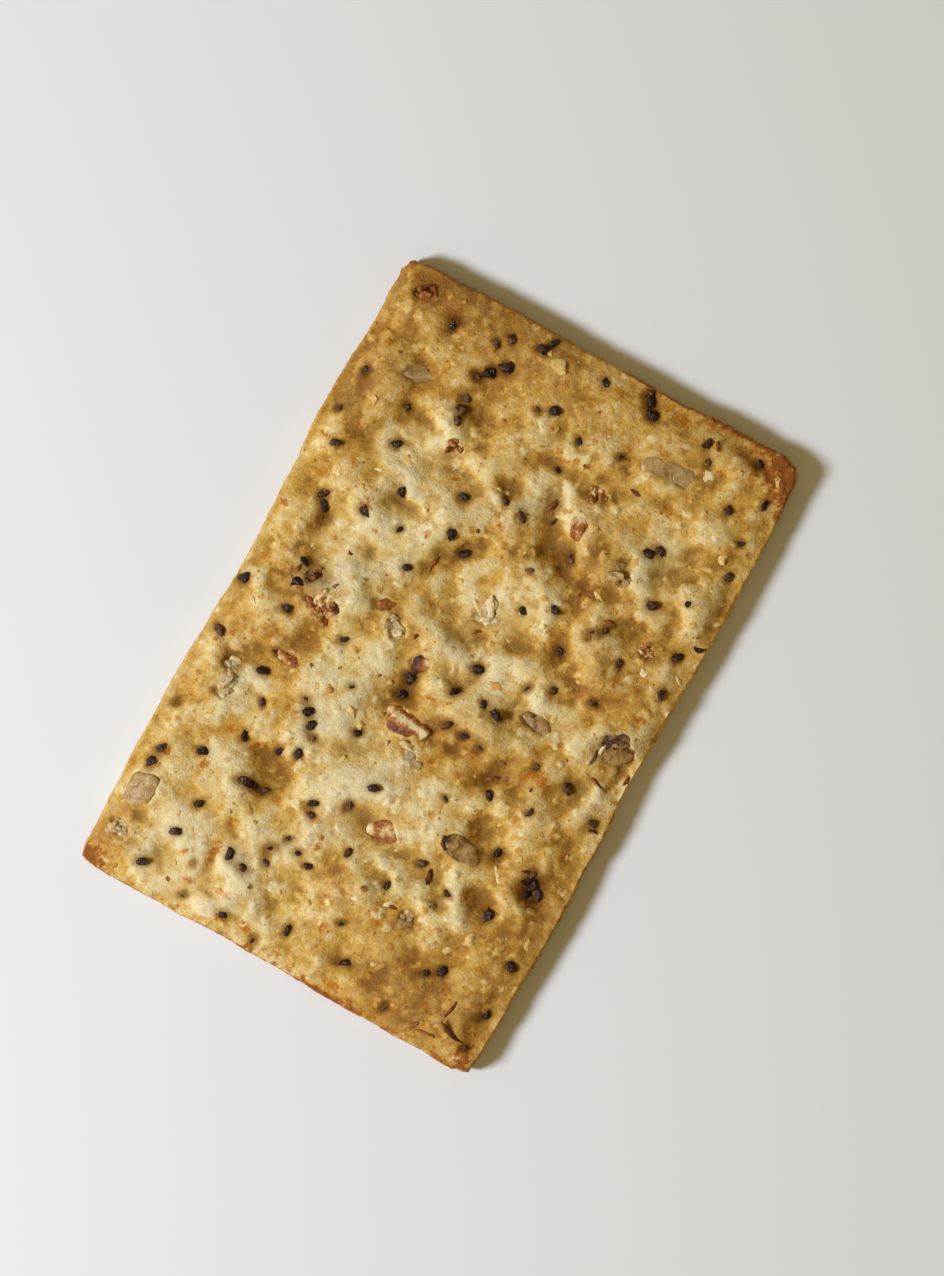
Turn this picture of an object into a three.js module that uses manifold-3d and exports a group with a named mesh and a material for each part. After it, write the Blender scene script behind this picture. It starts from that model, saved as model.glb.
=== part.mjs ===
// Seed cracker: a thin rectangular baked cracker whose lumpy top holds sunflower kernel pieces,
// cracked brown grains and poppy seeds, all baked into one piece of dough.
// Millimetres, +Z up, long side along Y. The origin is under the middle of the flat underside.
import * as THREE from "three";
import { mergeVertices } from "three/addons/utils/BufferGeometryUtils.js";
import Module from "manifold-3d";

const wasm = await Module();
wasm.setup();

// Driving dimensions of the baked slab
const LENGTH = 66.6;
const WIDTH = 43.6;
const CROWN_HEIGHT = 3.2; // mean thickness away from the edges
const RIM_HEIGHT = 2.5; // thickness where the top starts to round over at the edge
const RIM_FALL = 3.2; // distance over which the crown sinks to the rim
const BLISTER_PITCH = 2.9; // spacing of the small blisters in the dough
const BLISTER_RISE = 0.28;
const EDGE_LUMPINESS = 0.3; // share of the lumps that is left at the rim

// The sides bow by a long wave and the ends by a slope and a wave, as the cut dough shrank.
const SIDE_WAVE = { rise: 0.2, period: 33, crest: 17 };
const END_WAVE = { rise: 0.1, period: 26, crest: 16 };
const END_SKEW = 0.009; // the right side is a little longer than the left
const RIPPLE = { rise: 0.1, pitch: 2.7 }; // uneven small dents along the cut edge

// Corners: the zone that is rounded, and how round each one is, from 0 sharp to 1 a full arc
const CORNER_ZONE = 2.4;
const CORNER_ROUND = { topLeft: 0.35, topRight: 0.8, bottomLeft: 0.4, bottomRight: 0.6 };

// Edge profile from the top's border down to the underside: inset from the outline, share of the height
const EDGE_PROFILE = [
  { inset: 0.25, share: 1 },
  { inset: 0.05, share: 0.8 },
  { inset: 0, share: 0.42 },
  { inset: 0.5, share: 0 },
];
const TOP_BORDER = EDGE_PROFILE[0];
const FOOT_MARGIN = 5; // from the outline to the plain rectangle in the middle of the underside

// Facets of the top: cells between the corner zones, and in each corner zone
const CELLS_ACROSS = 25;
const CELLS_ALONG = 39;
const CELLS_IN_CORNER = 2;

// Large swells (rise above 0) and hollows (rise below 0) of the top: place, half sizes, turn in degrees
const LUMPS = [
  { x: -12.5, y: 6.3, along: 5.2, across: 3.4, turn: -50, rise: 0.4 },
  { x: -9.3, y: 14.4, along: 4, across: 1.7, turn: -8, rise: 0.45 },
  { x: -8.2, y: -5, along: 4.6, across: 3.2, turn: -60, rise: 0.4 },
  { x: 14.6, y: -7.6, along: 4.6, across: 1.6, turn: 100, rise: 0.7 },
  { x: 12.3, y: -19.3, along: 2.6, across: 1.8, turn: 110, rise: 0.6 },
  { x: 9.3, y: 17.9, along: 2.5, across: 1.7, turn: 125, rise: 0.6 },
  { x: 6.7, y: 16.3, along: 1.8, across: 1.1, turn: 95, rise: 0.5 },
  { x: 3.4, y: 20.2, along: 2.8, across: 1.1, turn: 115, rise: 0.45 },
  { x: 18.6, y: 16, along: 2.2, across: 1.5, turn: 100, rise: 0.55 },
  { x: 18, y: 22.6, along: 3, across: 1.8, turn: 120, rise: 0.4 },
  { x: 2.6, y: -2.4, along: 3, across: 2, turn: 20, rise: 0.4 },
  { x: 7.6, y: -12.4, along: 3.6, across: 2.1, turn: -15, rise: 0.4 },
  { x: 9.9, y: -21.4, along: 3, across: 1.3, turn: -48, rise: 0.4 },
  { x: -13, y: -23, along: 5, across: 4, turn: 20, rise: 0.3 },
  { x: -16.4, y: 3.2, along: 3.4, across: 1.9, turn: 75, rise: -0.65 },
  { x: 16.2, y: 19.3, along: 2.2, across: 1.6, turn: 110, rise: -0.6 },
  { x: -12.2, y: -4, along: 2.3, across: 1.9, turn: -50, rise: -0.5 },
  { x: -11.3, y: 11.3, along: 2.6, across: 1.3, turn: 5, rise: -0.6 },
  { x: 2, y: 18.2, along: 2, across: 1, turn: 100, rise: -0.6 },
  { x: -18.6, y: -9.8, along: 2.2, across: 1.4, turn: 80, rise: -0.5 },
  { x: -10.6, y: -16, along: 2.6, across: 2, turn: -55, rise: -0.55 },
  { x: 18, y: -14.2, along: 2.4, across: 2.1, turn: -30, rise: -0.65 },
  { x: 9.8, y: -6.8, along: 2.2, across: 1.3, turn: 30, rise: -0.5 },
  { x: -1.6, y: -3.2, along: 1.9, across: 1.5, turn: 90, rise: -0.5 },
  { x: 4.7, y: 14.6, along: 2.4, across: 1.8, turn: -30, rise: -0.5 },
  { x: -5.5, y: 8.2, along: 1.9, across: 1.1, turn: 85, rise: -0.45 },
];

// Pale sunflower kernel pieces: place, full sizes and turn in degrees
const KERNELS = [
  { x: -19.3, y: -24.2, long: 3.5, wide: 2.9, turn: 65 },
  { x: 10.2, y: -14.6, long: 3.6, wide: 2.3, turn: -8 },
  { x: 10.6, y: 27, long: 5, wide: 2.6, turn: 8 },
  { x: 18.2, y: 0.8, long: 4.2, wide: 2.9, turn: 40 },
  { x: 10.6, y: -0.5, long: 3.4, wide: 1.9, turn: -12 },
  { x: -17.6, y: -9.7, long: 2.2, wide: 1.7, turn: -30 },
  { x: -16.9, y: -12, long: 2.6, wide: 1.9, turn: 35 },
  { x: 9.1, y: -23, long: 2.6, wide: 1.7, turn: -40 },
  { x: 1.4, y: 6.2, long: 2.6, wide: 1.8, turn: 50 },
  { x: -5.3, y: 0.9, long: 2.5, wide: 1.8, turn: -35 },
  { x: -15.2, y: 23.5, long: 3.1, wide: 1.3, turn: 36 },
  { x: 10.9, y: 15.6, long: 2.6, wide: 1.5, turn: 10 },
  { x: -19.3, y: -28.7, long: 2.7, wide: 1.9, turn: -25 },
  { x: 1.6, y: -9.1, long: 2.4, wide: 1.3, turn: -30 },
];

// Cracked brown grains: place, full sizes and turn in degrees
const GRAINS = [
  { x: 0, y: -6.4, long: 4, wide: 2.8, turn: -6 },
  { x: -12.8, y: -0.4, long: 4.2, wide: 1.6, turn: 6 },
  { x: -14.7, y: 1.5, long: 2, wide: 1.5, turn: 60 },
  { x: 3.3, y: -16.6, long: 3, wide: 1.9, turn: 15 },
  { x: 5.3, y: 17.9, long: 2.4, wide: 1.9, turn: 110 },
  { x: 5.2, y: 21.5, long: 2.1, wide: 1.7, turn: 20 },
  { x: -12.7, y: -6.6, long: 2.2, wide: 1.1, turn: -8 },
  { x: -7.4, y: 2.5, long: 2, wide: 1.2, turn: 15 },
  { x: -9, y: 18.9, long: 2.1, wide: 1, turn: -5 },
  { x: -1.7, y: -0.7, long: 2.3, wide: 1.6, turn: 70 },
  { x: -18.9, y: 30.4, long: 2, wide: 1.5, turn: 60 },
  { x: 16.6, y: 10.6, long: 2.4, wide: 1.2, turn: -40 },
];

// Poppy seeds that lie together in short rows: middle of the row, seeds, heading in degrees, spacing
const SEED_ROWS = [
  { x: 5.3, y: -4.8, seeds: 3, heading: -3, step: 1.9 },
  { x: -1.9, y: -3.4, seeds: 2, heading: 95, step: 1.7 },
  { x: -9.3, y: 27, seeds: 3, heading: 44, step: 1.5 },
  { x: -9.7, y: 30.1, seeds: 2, heading: 40, step: 1.5 },
  { x: -10.1, y: 22.4, seeds: 3, heading: 100, step: 1.15 },
  { x: 5.6, y: 31.6, seeds: 3, heading: -55, step: 1.15 },
  { x: -5.7, y: 31.7, seeds: 2, heading: 60, step: 1.2 },
  { x: -2.9, y: 26.2, seeds: 2, heading: 30, step: 1.6 },
  { x: 12.6, y: 30.2, seeds: 2, heading: -60, step: 1.6 },
  { x: 12.7, y: 19.4, seeds: 2, heading: 45, step: 1.2 },
  { x: -1.1, y: 16.4, seeds: 2, heading: -15, step: 2.1 },
  { x: -4.2, y: 11, seeds: 2, heading: -30, step: 2.3 },
  { x: 11.7, y: 10, seeds: 2, heading: 42, step: 1.4 },
  { x: -17.2, y: 7.9, seeds: 3, heading: -60, step: 1.2 },
  { x: 9.5, y: 2.6, seeds: 2, heading: 25, step: 2.5 },
  { x: 6.2, y: -1.5, seeds: 2, heading: -15, step: 1.6 },
  { x: -14.5, y: -7.6, seeds: 2, heading: 85, step: 2.4 },
  { x: -8.5, y: -10.6, seeds: 4, heading: -50, step: 1.25 },
  { x: -8.7, y: -14.4, seeds: 2, heading: 25, step: 1.9 },
  { x: 18.1, y: -14.3, seeds: 3, heading: -60, step: 1.15 },
  { x: -10.1, y: -18.8, seeds: 3, heading: 2, step: 1.15 },
  { x: -4.1, y: -18.1, seeds: 2, heading: -70, step: 1.15 },
  { x: -3.2, y: -22.4, seeds: 3, heading: -25, step: 1.6 },
  { x: -19.6, y: -20.7, seeds: 2, heading: 80, step: 1.5 },
  { x: -5.6, y: -24, seeds: 2, heading: 100, step: 1.4 },
  { x: -8, y: -26, seeds: 2, heading: -20, step: 1.8 },
  { x: 13.8, y: -26.1, seeds: 2, heading: 35, step: 1.6 },
];

// Poppy seeds that lie singly, spread evenly: each takes the roomiest of a few drawn places
const SINGLE_SEEDS = 70;
const PLACES_TRIED = 14;
const SINGLE_MARGIN = 1.2; // from the outline to the nearest single seed
const SEED_SIZE = { long: 1.25, wide: 0.9, high: 0.8 };
const SEED_VARIES = 0.22; // share by which seeds differ in size

// How far pieces stand proud of the dough, as a share of their height
const SEED_PROUD = 0.42;
const KERNEL_HIGH = 1.1;
const KERNEL_PROUD = 0.22;
const GRAIN_HIGH = 1.3;
const GRAIN_PROUD = 0.34;
const CHIP = 0.16; // share by which the corners of broken pieces differ

// Subdivisions of the twenty-sided body that a piece starts from
const CHUNK_DETAIL = 1;
const SEED_DETAIL = 0;

// Colours and finish of the baked dough
const DOUGH_COLOUR = 0xc79a56;
const DOUGH_ROUGHNESS = 0.72;

// A fixed draw from 0 to 1 for three whole numbers, the same on every run
function draw(i, j, k) {
  const s = Math.sin(i * 127.1 + j * 311.7 + k * 74.7) * 43758.5453;
  return s - Math.floor(s);
}

// Smooth lattice noise from -1 to 1
function latticeNoise(x, y, k) {
  const i = Math.floor(x);
  const j = Math.floor(y);
  const u = THREE.MathUtils.smootherstep(x - i, 0, 1);
  const v = THREE.MathUtils.smootherstep(y - j, 0, 1);
  const low = THREE.MathUtils.lerp(draw(i, j, k), draw(i + 1, j, k), u);
  const high = THREE.MathUtils.lerp(draw(i, j + 1, k), draw(i + 1, j + 1, k), u);
  return 2 * THREE.MathUtils.lerp(low, high, v) - 1;
}

function wave({ rise, period, crest }, along) {
  return rise * Math.cos((2 * Math.PI * (along - crest)) / period);
}

// How far the outline lies outside the plain rectangle, at a place along a side or an end
function sideBow(y, side) {
  return wave(SIDE_WAVE, y) + RIPPLE.rise * latticeNoise(y / RIPPLE.pitch, side, 1);
}

function endBow(x, end) {
  return wave(END_WAVE, x * end) + END_SKEW * x + RIPPLE.rise * latticeNoise(x / RIPPLE.pitch, end, 2);
}

function cornerRound(x, y) {
  const { topLeft, topRight, bottomLeft, bottomRight } = CORNER_ROUND;
  if (y > 0) return x > 0 ? topRight : topLeft;
  return x > 0 ? bottomRight : bottomLeft;
}

// A place on the slab from its share (-1 to 1) of the width and length, at an inset from the outline
function slabPoint(across, along, inset) {
  const halfWidth = WIDTH / 2 - inset;
  const halfLength = LENGTH / 2 - inset;
  let x = across * halfWidth;
  let y = along * halfLength;
  const a = Math.max(0, (Math.abs(x) - halfWidth + CORNER_ZONE) / CORNER_ZONE);
  const b = Math.max(0, (Math.abs(y) - halfLength + CORNER_ZONE) / CORNER_ZONE);
  const round = cornerRound(x, y);
  x -= Math.sign(x) * round * CORNER_ZONE * a * (1 - Math.sqrt(1 - (b * b) / 2));
  y -= Math.sign(y) * round * CORNER_ZONE * b * (1 - Math.sqrt(1 - (a * a) / 2));
  const bowed = { x: x + across * sideBow(y, Math.sign(across)) };
  bowed.y = y + along * endBow(x, Math.sign(along));
  return bowed;
}

function lumpHeight({ x, y, along, across, turn, rise }, px, py) {
  const t = THREE.MathUtils.degToRad(turn);
  const a = ((px - x) * Math.cos(t) + (py - y) * Math.sin(t)) / along;
  const b = ((py - y) * Math.cos(t) - (px - x) * Math.sin(t)) / across;
  return rise * Math.exp(-a * a - b * b);
}

// Height of the dough's top above the underside
function topHeight(x, y) {
  const fromEdge = Math.min(WIDTH / 2 - Math.abs(x), LENGTH / 2 - Math.abs(y));
  const inner = THREE.MathUtils.smoothstep(fromEdge, TOP_BORDER.inset / 2, RIM_FALL);
  const base = THREE.MathUtils.lerp(RIM_HEIGHT, CROWN_HEIGHT, inner);
  const lumps = LUMPS.reduce((sum, lump) => sum + lumpHeight(lump, x, y), 0);
  const blisters = BLISTER_RISE * latticeNoise(x / BLISTER_PITCH, y / BLISTER_PITCH, 3);
  return base + THREE.MathUtils.lerp(EDGE_LUMPINESS, 1, inner) * (lumps + blisters);
}

// Lines of the top's facets from -1 to 1, with closer lines in the corner zones
function facetLines(half, cells) {
  const inner = 1 - CORNER_ZONE / half;
  const lines = [];
  for (let i = 0; i < CELLS_IN_CORNER; i++) {
    lines.push(-1 + ((1 - inner) * i) / CELLS_IN_CORNER);
  }
  for (let i = 0; i <= cells; i++) {
    lines.push(inner * (-1 + (2 * i) / cells));
  }
  for (let i = 1; i <= CELLS_IN_CORNER; i++) {
    lines.push(inner + ((1 - inner) * i) / CELLS_IN_CORNER);
  }
  return lines;
}

// Grid places along the top's border, anticlockwise seen from above
function borderLoop(columns, rows) {
  const loop = [];
  for (let i = 0; i < columns - 1; i++) loop.push([i, 0]);
  for (let j = 0; j < rows - 1; j++) loop.push([columns - 1, j]);
  for (let i = columns - 1; i > 0; i--) loop.push([i, rows - 1]);
  for (let j = rows - 1; j > 0; j--) loop.push([0, j]);
  return loop;
}

// The slab of dough without its seeds: lumpy top, rounded edge and flat underside
function doughGeometry() {
  const across = facetLines(WIDTH / 2, CELLS_ACROSS);
  const along = facetLines(LENGTH / 2, CELLS_ALONG);
  const columns = across.length;
  const rows = along.length;
  const points = [];
  const triangles = [];

  for (const v of along) {
    for (const u of across) {
      const { x, y } = slabPoint(u, v, TOP_BORDER.inset);
      points.push([x, y, topHeight(x, y)]);
    }
  }
  for (let j = 0; j < rows - 1; j++) {
    for (let i = 0; i < columns - 1; i++) {
      const p = j * columns + i;
      triangles.push([p, p + 1, p + columns + 1], [p, p + columns + 1, p + columns]);
    }
  }

  const loop = borderLoop(columns, rows);
  let ring = loop.map(([i, j]) => j * columns + i);
  for (const { inset, share } of EDGE_PROFILE.slice(1)) {
    const lower = loop.map(([i, j]) => {
      const { x, y } = slabPoint(across[i], along[j], inset);
      const top = points[j * columns + i][2];
      points.push([x, y, share * top]);
      return points.length - 1;
    });
    ring.forEach((p, n) => {
      const next = (n + 1) % ring.length;
      triangles.push([p, lower[n], lower[next]], [p, lower[next], ring[next]]);
    });
    ring = lower;
  }

  triangles.push(...undersideTriangles(points, ring));
  const geometry = new THREE.BufferGeometry();
  geometry.setAttribute("position", new THREE.Float32BufferAttribute(points.flat(), 3));
  geometry.setIndex(triangles.flat());
  return geometry;
}

// The flat underside: a plain rectangle in the middle, and a border out to the foot of the edge
function undersideTriangles(points, ring) {
  const x = WIDTH / 2 - FOOT_MARGIN;
  const y = LENGTH / 2 - FOOT_MARGIN;
  const middle = [[-x, -y], [x, -y], [x, y], [-x, y]];
  const first = points.length;
  points.push(...middle.map(([px, py]) => [px, py, 0]));
  const indices = [...ring, first, first + 1, first + 2, first + 3];
  const contour = ring.map((p) => new THREE.Vector2(points[p][0], points[p][1]));
  const hole = middle.map(([px, py]) => new THREE.Vector2(px, py));
  const border = THREE.ShapeUtils.triangulateShape(contour, [hole]);
  const faces = border.map(([a, b, c]) => [indices[a], indices[c], indices[b]]);
  return [...faces, [first, first + 2, first + 1], [first, first + 3, first + 2]];
}

// A closed geometry as a solid that can be joined to others
function solidOf(geometry) {
  const bare = geometry.clone();
  bare.deleteAttribute("normal");
  bare.deleteAttribute("uv");
  const merged = mergeVertices(bare);
  return new wasm.Manifold(
    new wasm.Mesh({
      numProp: 3,
      vertProperties: new Float32Array(merged.attributes.position.array),
      triVerts: new Uint32Array(merged.index.array),
    }),
  );
}

// One baked-in piece: a rounded body of the given sizes, chipped where it is broken, set into the dough
function setPiece({ x, y, long, wide, high, turn, proud }, detail, chip, number) {
  const geometry = new THREE.IcosahedronGeometry(0.5, detail);
  const merged = mergeVertices(geometry.deleteAttribute("normal").deleteAttribute("uv"));
  const place = merged.attributes.position;
  for (let n = 0; n < place.count; n++) {
    const size = 1 + chip * (2 * draw(number, n, 5) - 1);
    place.setXYZ(n, place.getX(n) * size, place.getY(n) * size, place.getZ(n) * size);
  }
  merged.scale(long, wide, high);
  merged.rotateZ(THREE.MathUtils.degToRad(turn));
  merged.translate(x, y, topHeight(x, y) + high * (proud - 0.5));
  return solidOf(merged);
}

function kernelPieces() {
  return KERNELS.map((kernel, n) =>
    setPiece({ ...kernel, high: KERNEL_HIGH, proud: KERNEL_PROUD }, CHUNK_DETAIL, CHIP, n),
  );
}

function grainPieces() {
  return GRAINS.map((grain, n) =>
    setPiece({ ...grain, high: GRAIN_HIGH, proud: GRAIN_PROUD }, CHUNK_DETAIL, CHIP, KERNELS.length + n),
  );
}

// Places of all poppy seeds: the short rows first, then the singles in the room that is left
function seedPlaces() {
  const places = [];
  for (const { x, y, seeds, heading, step } of SEED_ROWS) {
    const t = THREE.MathUtils.degToRad(heading);
    for (let n = 0; n < seeds; n++) {
      const away = (n - (seeds - 1) / 2) * step;
      places.push({ x: x + away * Math.cos(t), y: y + away * Math.sin(t) });
    }
  }
  for (let n = 0; n < SINGLE_SEEDS; n++) {
    places.push(roomiestPlace([...places, ...KERNELS, ...GRAINS], n));
  }
  return places;
}

function roomiestPlace(taken, n) {
  let best = null;
  for (let k = 0; k < PLACES_TRIED; k++) {
    const x = (2 * draw(n, k, 7) - 1) * (WIDTH / 2 - SINGLE_MARGIN);
    const y = (2 * draw(n, k, 8) - 1) * (LENGTH / 2 - SINGLE_MARGIN);
    const room = Math.min(...taken.map((p) => Math.hypot(p.x - x, p.y - y)));
    if (!best || room > best.room) best = { x, y, room };
  }
  return best;
}

function seedPieces() {
  return seedPlaces().map(({ x, y }, n) => {
    const size = 1 + SEED_VARIES * (2 * draw(n, 1, 9) - 1);
    const { long, wide, high } = SEED_SIZE;
    const turn = 360 * draw(n, 2, 9);
    const sizes = { long: long * size, wide: wide * size, high: high * size };
    return setPiece({ x, y, ...sizes, turn, proud: SEED_PROUD }, SEED_DETAIL, 0, n);
  });
}

// The whole cracker as one solid
function crackerGeometry() {
  const pieces = [...kernelPieces(), ...grainPieces(), ...seedPieces()];
  const fused = pieces.reduce((whole, piece) => whole.add(piece), solidOf(doughGeometry()));
  const { numProp, vertProperties, triVerts } = fused.getMesh();
  const geometry = new THREE.BufferGeometry();
  const positions = new THREE.InterleavedBuffer(vertProperties, numProp);
  geometry.setAttribute("position", new THREE.InterleavedBufferAttribute(positions, 3, 0));
  geometry.setIndex(new THREE.BufferAttribute(triVerts, 1));
  return geometry;
}

const dough = new THREE.MeshStandardMaterial({
  color: DOUGH_COLOUR,
  roughness: DOUGH_ROUGHNESS,
  metalness: 0,
});
const cracker = new THREE.Mesh(crackerGeometry(), dough);
cracker.name = "cracker";

const group = new THREE.Group();
group.add(cracker);

export default group;
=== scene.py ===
# %% [markdown]
# # A baked seed cracker
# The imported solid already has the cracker's size, its lumps and the places of its seeds.
# This lesson gives it the looks: a finely blistered dough, and each kind of seed as a piece of its own.
# The frame is loaded first, because every piece has to lie where the solid lies.

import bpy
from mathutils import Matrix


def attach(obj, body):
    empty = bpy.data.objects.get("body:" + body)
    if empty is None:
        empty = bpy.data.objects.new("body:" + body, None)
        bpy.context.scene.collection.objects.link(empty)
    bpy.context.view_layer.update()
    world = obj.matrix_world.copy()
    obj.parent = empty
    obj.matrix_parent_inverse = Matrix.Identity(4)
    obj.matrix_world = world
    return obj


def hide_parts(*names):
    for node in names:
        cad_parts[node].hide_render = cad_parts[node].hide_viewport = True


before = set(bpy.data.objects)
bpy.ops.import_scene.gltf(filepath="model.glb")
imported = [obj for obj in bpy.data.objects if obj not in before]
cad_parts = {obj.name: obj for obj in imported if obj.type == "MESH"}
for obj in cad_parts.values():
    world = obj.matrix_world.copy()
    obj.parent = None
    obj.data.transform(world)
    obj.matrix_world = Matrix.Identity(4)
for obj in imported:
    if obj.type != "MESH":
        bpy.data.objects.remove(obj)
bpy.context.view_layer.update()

# %% [markdown]
# ## Units and helpers
# Seeds are about a millimetre long, so every piece is modelled in millimetres and shrunk to metres
# when it is done. All chance comes from one fixed draw, so the cracker is the same on every run, and
# it is the same draw that scattered the seeds on the solid.

# %% Units, draws and noise
import math
from collections import namedtuple

import bpy
import numpy as np
from mathutils import Matrix, Vector

MM = 0.001


def draw(i, j, k):
    """A fixed draw from 0 to 1 for three whole numbers."""
    s = np.sin(i * 127.1 + j * 311.7 + k * 74.7) * 43758.5453
    return s - np.floor(s)


def smooth(x, start, end):
    t = np.clip((x - start) / (end - start), 0, 1)
    return t * t * (3 - 2 * t)


def lattice_noise(x, y, k):
    """Smooth noise from -1 to 1 between draws on a square lattice."""
    i, j = np.floor(x), np.floor(y)
    u, v = x - i, y - j
    u = u**3 * (u * (6 * u - 15) + 10)
    v = v**3 * (v * (6 * v - 15) + 10)
    near_row = draw(i, j, k) * (1 - u) + draw(i + 1, j, k) * u
    far_row = draw(i, j + 1, k) * (1 - u) + draw(i + 1, j + 1, k) * u
    return 2 * (near_row * (1 - v) + far_row * v) - 1


print("first draws:", [round(float(draw(n, 1, 9)), 3) for n in range(4)])

# %% [markdown]
# ## The slab's outline and lumps
# The cracker was cut from a sheet of dough, so its sides are nearly straight, bow by a fifth of a
# millimetre and have small dents. The lumps are the large swells and hollows of the top. Both could be
# read off the solid's mesh, but repeating its named sizes keeps them easy to follow, and the looks and
# the solid agree.

# %% Sizes of the slab
LENGTH, WIDTH = 66.6, 43.6
CROWN_HEIGHT, RIM_HEIGHT, RIM_FALL = 3.2, 2.5, 3.2
BLISTER_PITCH, BLISTER_RISE = 2.9, 0.28
BORDER_INSET, FOOT_INSET, BULGE_SHARE = 0.25, 0.5, 0.42
RIPPLE_RISE, RIPPLE_PITCH = 0.1, 2.7
END_SKEW = 0.009
CORNER_ZONE = 2.4
CORNER_ROUND = {"top left": 0.35, "top right": 0.8, "bottom left": 0.4, "bottom right": 0.6}

Wave = namedtuple("Wave", "rise period crest")
SIDE_WAVE = Wave(0.2, 33, 17)
END_WAVE = Wave(0.1, 26, 16)
print("slab: %.1f by %.1f mm, %.1f mm at its crown" % (LENGTH, WIDTH, CROWN_HEIGHT))

# %% Swells and hollows as soft oval patches
Patch = namedtuple("Patch", "x y along across turn amount")
LUMPS = [Patch(*row) for row in (
    (-12.5, 6.3, 5.2, 3.4, -50, 0.4), (-9.3, 14.4, 4, 1.7, -8, 0.45), (-8.2, -5, 4.6, 3.2, -60, 0.4),
    (14.6, -7.6, 4.6, 1.6, 100, 0.7), (12.3, -19.3, 2.6, 1.8, 110, 0.6), (9.3, 17.9, 2.5, 1.7, 125, 0.6),
    (6.7, 16.3, 1.8, 1.1, 95, 0.5), (3.4, 20.2, 2.8, 1.1, 115, 0.45), (18.6, 16, 2.2, 1.5, 100, 0.55),
    (18, 22.6, 3, 1.8, 120, 0.4), (2.6, -2.4, 3, 2, 20, 0.4), (7.6, -12.4, 3.6, 2.1, -15, 0.4),
    (9.9, -21.4, 3, 1.3, -48, 0.4), (-13, -23, 5, 4, 20, 0.3), (-16.4, 3.2, 3.4, 1.9, 75, -0.65),
    (16.2, 19.3, 2.2, 1.6, 110, -0.6), (-12.2, -4, 2.3, 1.9, -50, -0.5), (-11.3, 11.3, 2.6, 1.3, 5, -0.6),
    (2, 18.2, 2, 1, 100, -0.6), (-18.6, -9.8, 2.2, 1.4, 80, -0.5), (-10.6, -16, 2.6, 2, -55, -0.55),
    (18, -14.2, 2.4, 2.1, -30, -0.65), (9.8, -6.8, 2.2, 1.3, 30, -0.5), (-1.6, -3.2, 1.9, 1.5, 90, -0.5),
    (4.7, 14.6, 2.4, 1.8, -30, -0.5), (-5.5, 8.2, 1.9, 1.1, 85, -0.45),
)]


def own_axes(item, x, y):
    """Places x, y measured along and across an item that lies turned on the cracker."""
    t = math.radians(item.turn)
    right, up = x - item.x, y - item.y
    return right * math.cos(t) + up * math.sin(t), up * math.cos(t) - right * math.sin(t)


def bell(item, x, y):
    """1 at an item's middle, falling off over its half sizes."""
    a, b = own_axes(item, x, y)
    return np.exp(-((a / item.along) ** 2) - (b / item.across) ** 2)


def painted(patches, x, y):
    """The amounts of all patches, summed at places x, y."""
    return sum(patch.amount * bell(patch, x, y) for patch in patches)


print("lumps at the middle: %.2f mm" % painted(LUMPS, 0, 0))


# %% Outline and height of the slab
def wave(w, along):
    return w.rise * np.cos(2 * np.pi * (along - w.crest) / w.period)


def slab_point(across, along, inset):
    """A place on the slab from its share (-1 to 1) of width and length, at an inset from the outline."""
    half_width, half_length = WIDTH / 2 - inset, LENGTH / 2 - inset
    x, y = across * half_width, along * half_length
    a = np.maximum(0, (abs(x) - half_width + CORNER_ZONE) / CORNER_ZONE)
    b = np.maximum(0, (abs(y) - half_length + CORNER_ZONE) / CORNER_ZONE)
    upper = np.where(x > 0, CORNER_ROUND["top right"], CORNER_ROUND["top left"])
    lower = np.where(x > 0, CORNER_ROUND["bottom right"], CORNER_ROUND["bottom left"])
    arc = CORNER_ZONE * np.where(y > 0, upper, lower)
    x = x - np.sign(x) * arc * a * (1 - np.sqrt(1 - b * b / 2))
    y = y - np.sign(y) * arc * b * (1 - np.sqrt(1 - a * a / 2))
    side, end = np.sign(across), np.sign(along)
    bow = wave(SIDE_WAVE, y) + RIPPLE_RISE * lattice_noise(y / RIPPLE_PITCH, side, 1)
    end_dent = RIPPLE_RISE * lattice_noise(x / RIPPLE_PITCH, end, 2)
    return x + across * bow, y + along * (wave(END_WAVE, x * end) + END_SKEW * x + end_dent)


def edge_distance(x, y):
    return np.minimum(WIDTH / 2 - abs(x), LENGTH / 2 - abs(y))


def top_height(x, y):
    """Height of the solid's top above the underside."""
    inner = smooth(edge_distance(x, y), BORDER_INSET / 2, RIM_FALL)
    blisters = BLISTER_RISE * lattice_noise(x / BLISTER_PITCH, y / BLISTER_PITCH, 3)
    relief = painted(LUMPS, x, y) + blisters
    return RIM_HEIGHT + (CROWN_HEIGHT - RIM_HEIGHT) * inner + (0.3 + 0.7 * inner) * relief


print("height at the middle: %.2f mm" % top_height(0, 0))

# %% [markdown]
# ## What is baked in
# Three kinds of pieces show in the top: pale sunflower kernel pieces, cracked brown grains, and black
# poppy seeds. The larger ones and the seeds that lie in short rows have places of their own; a few
# are larger here than on the solid, because the dough's lip will cover part of each. The single seeds
# could be strewn at random, but that leaves bare spots and heaps, so each takes the roomiest of a few
# drawn places.

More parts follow.
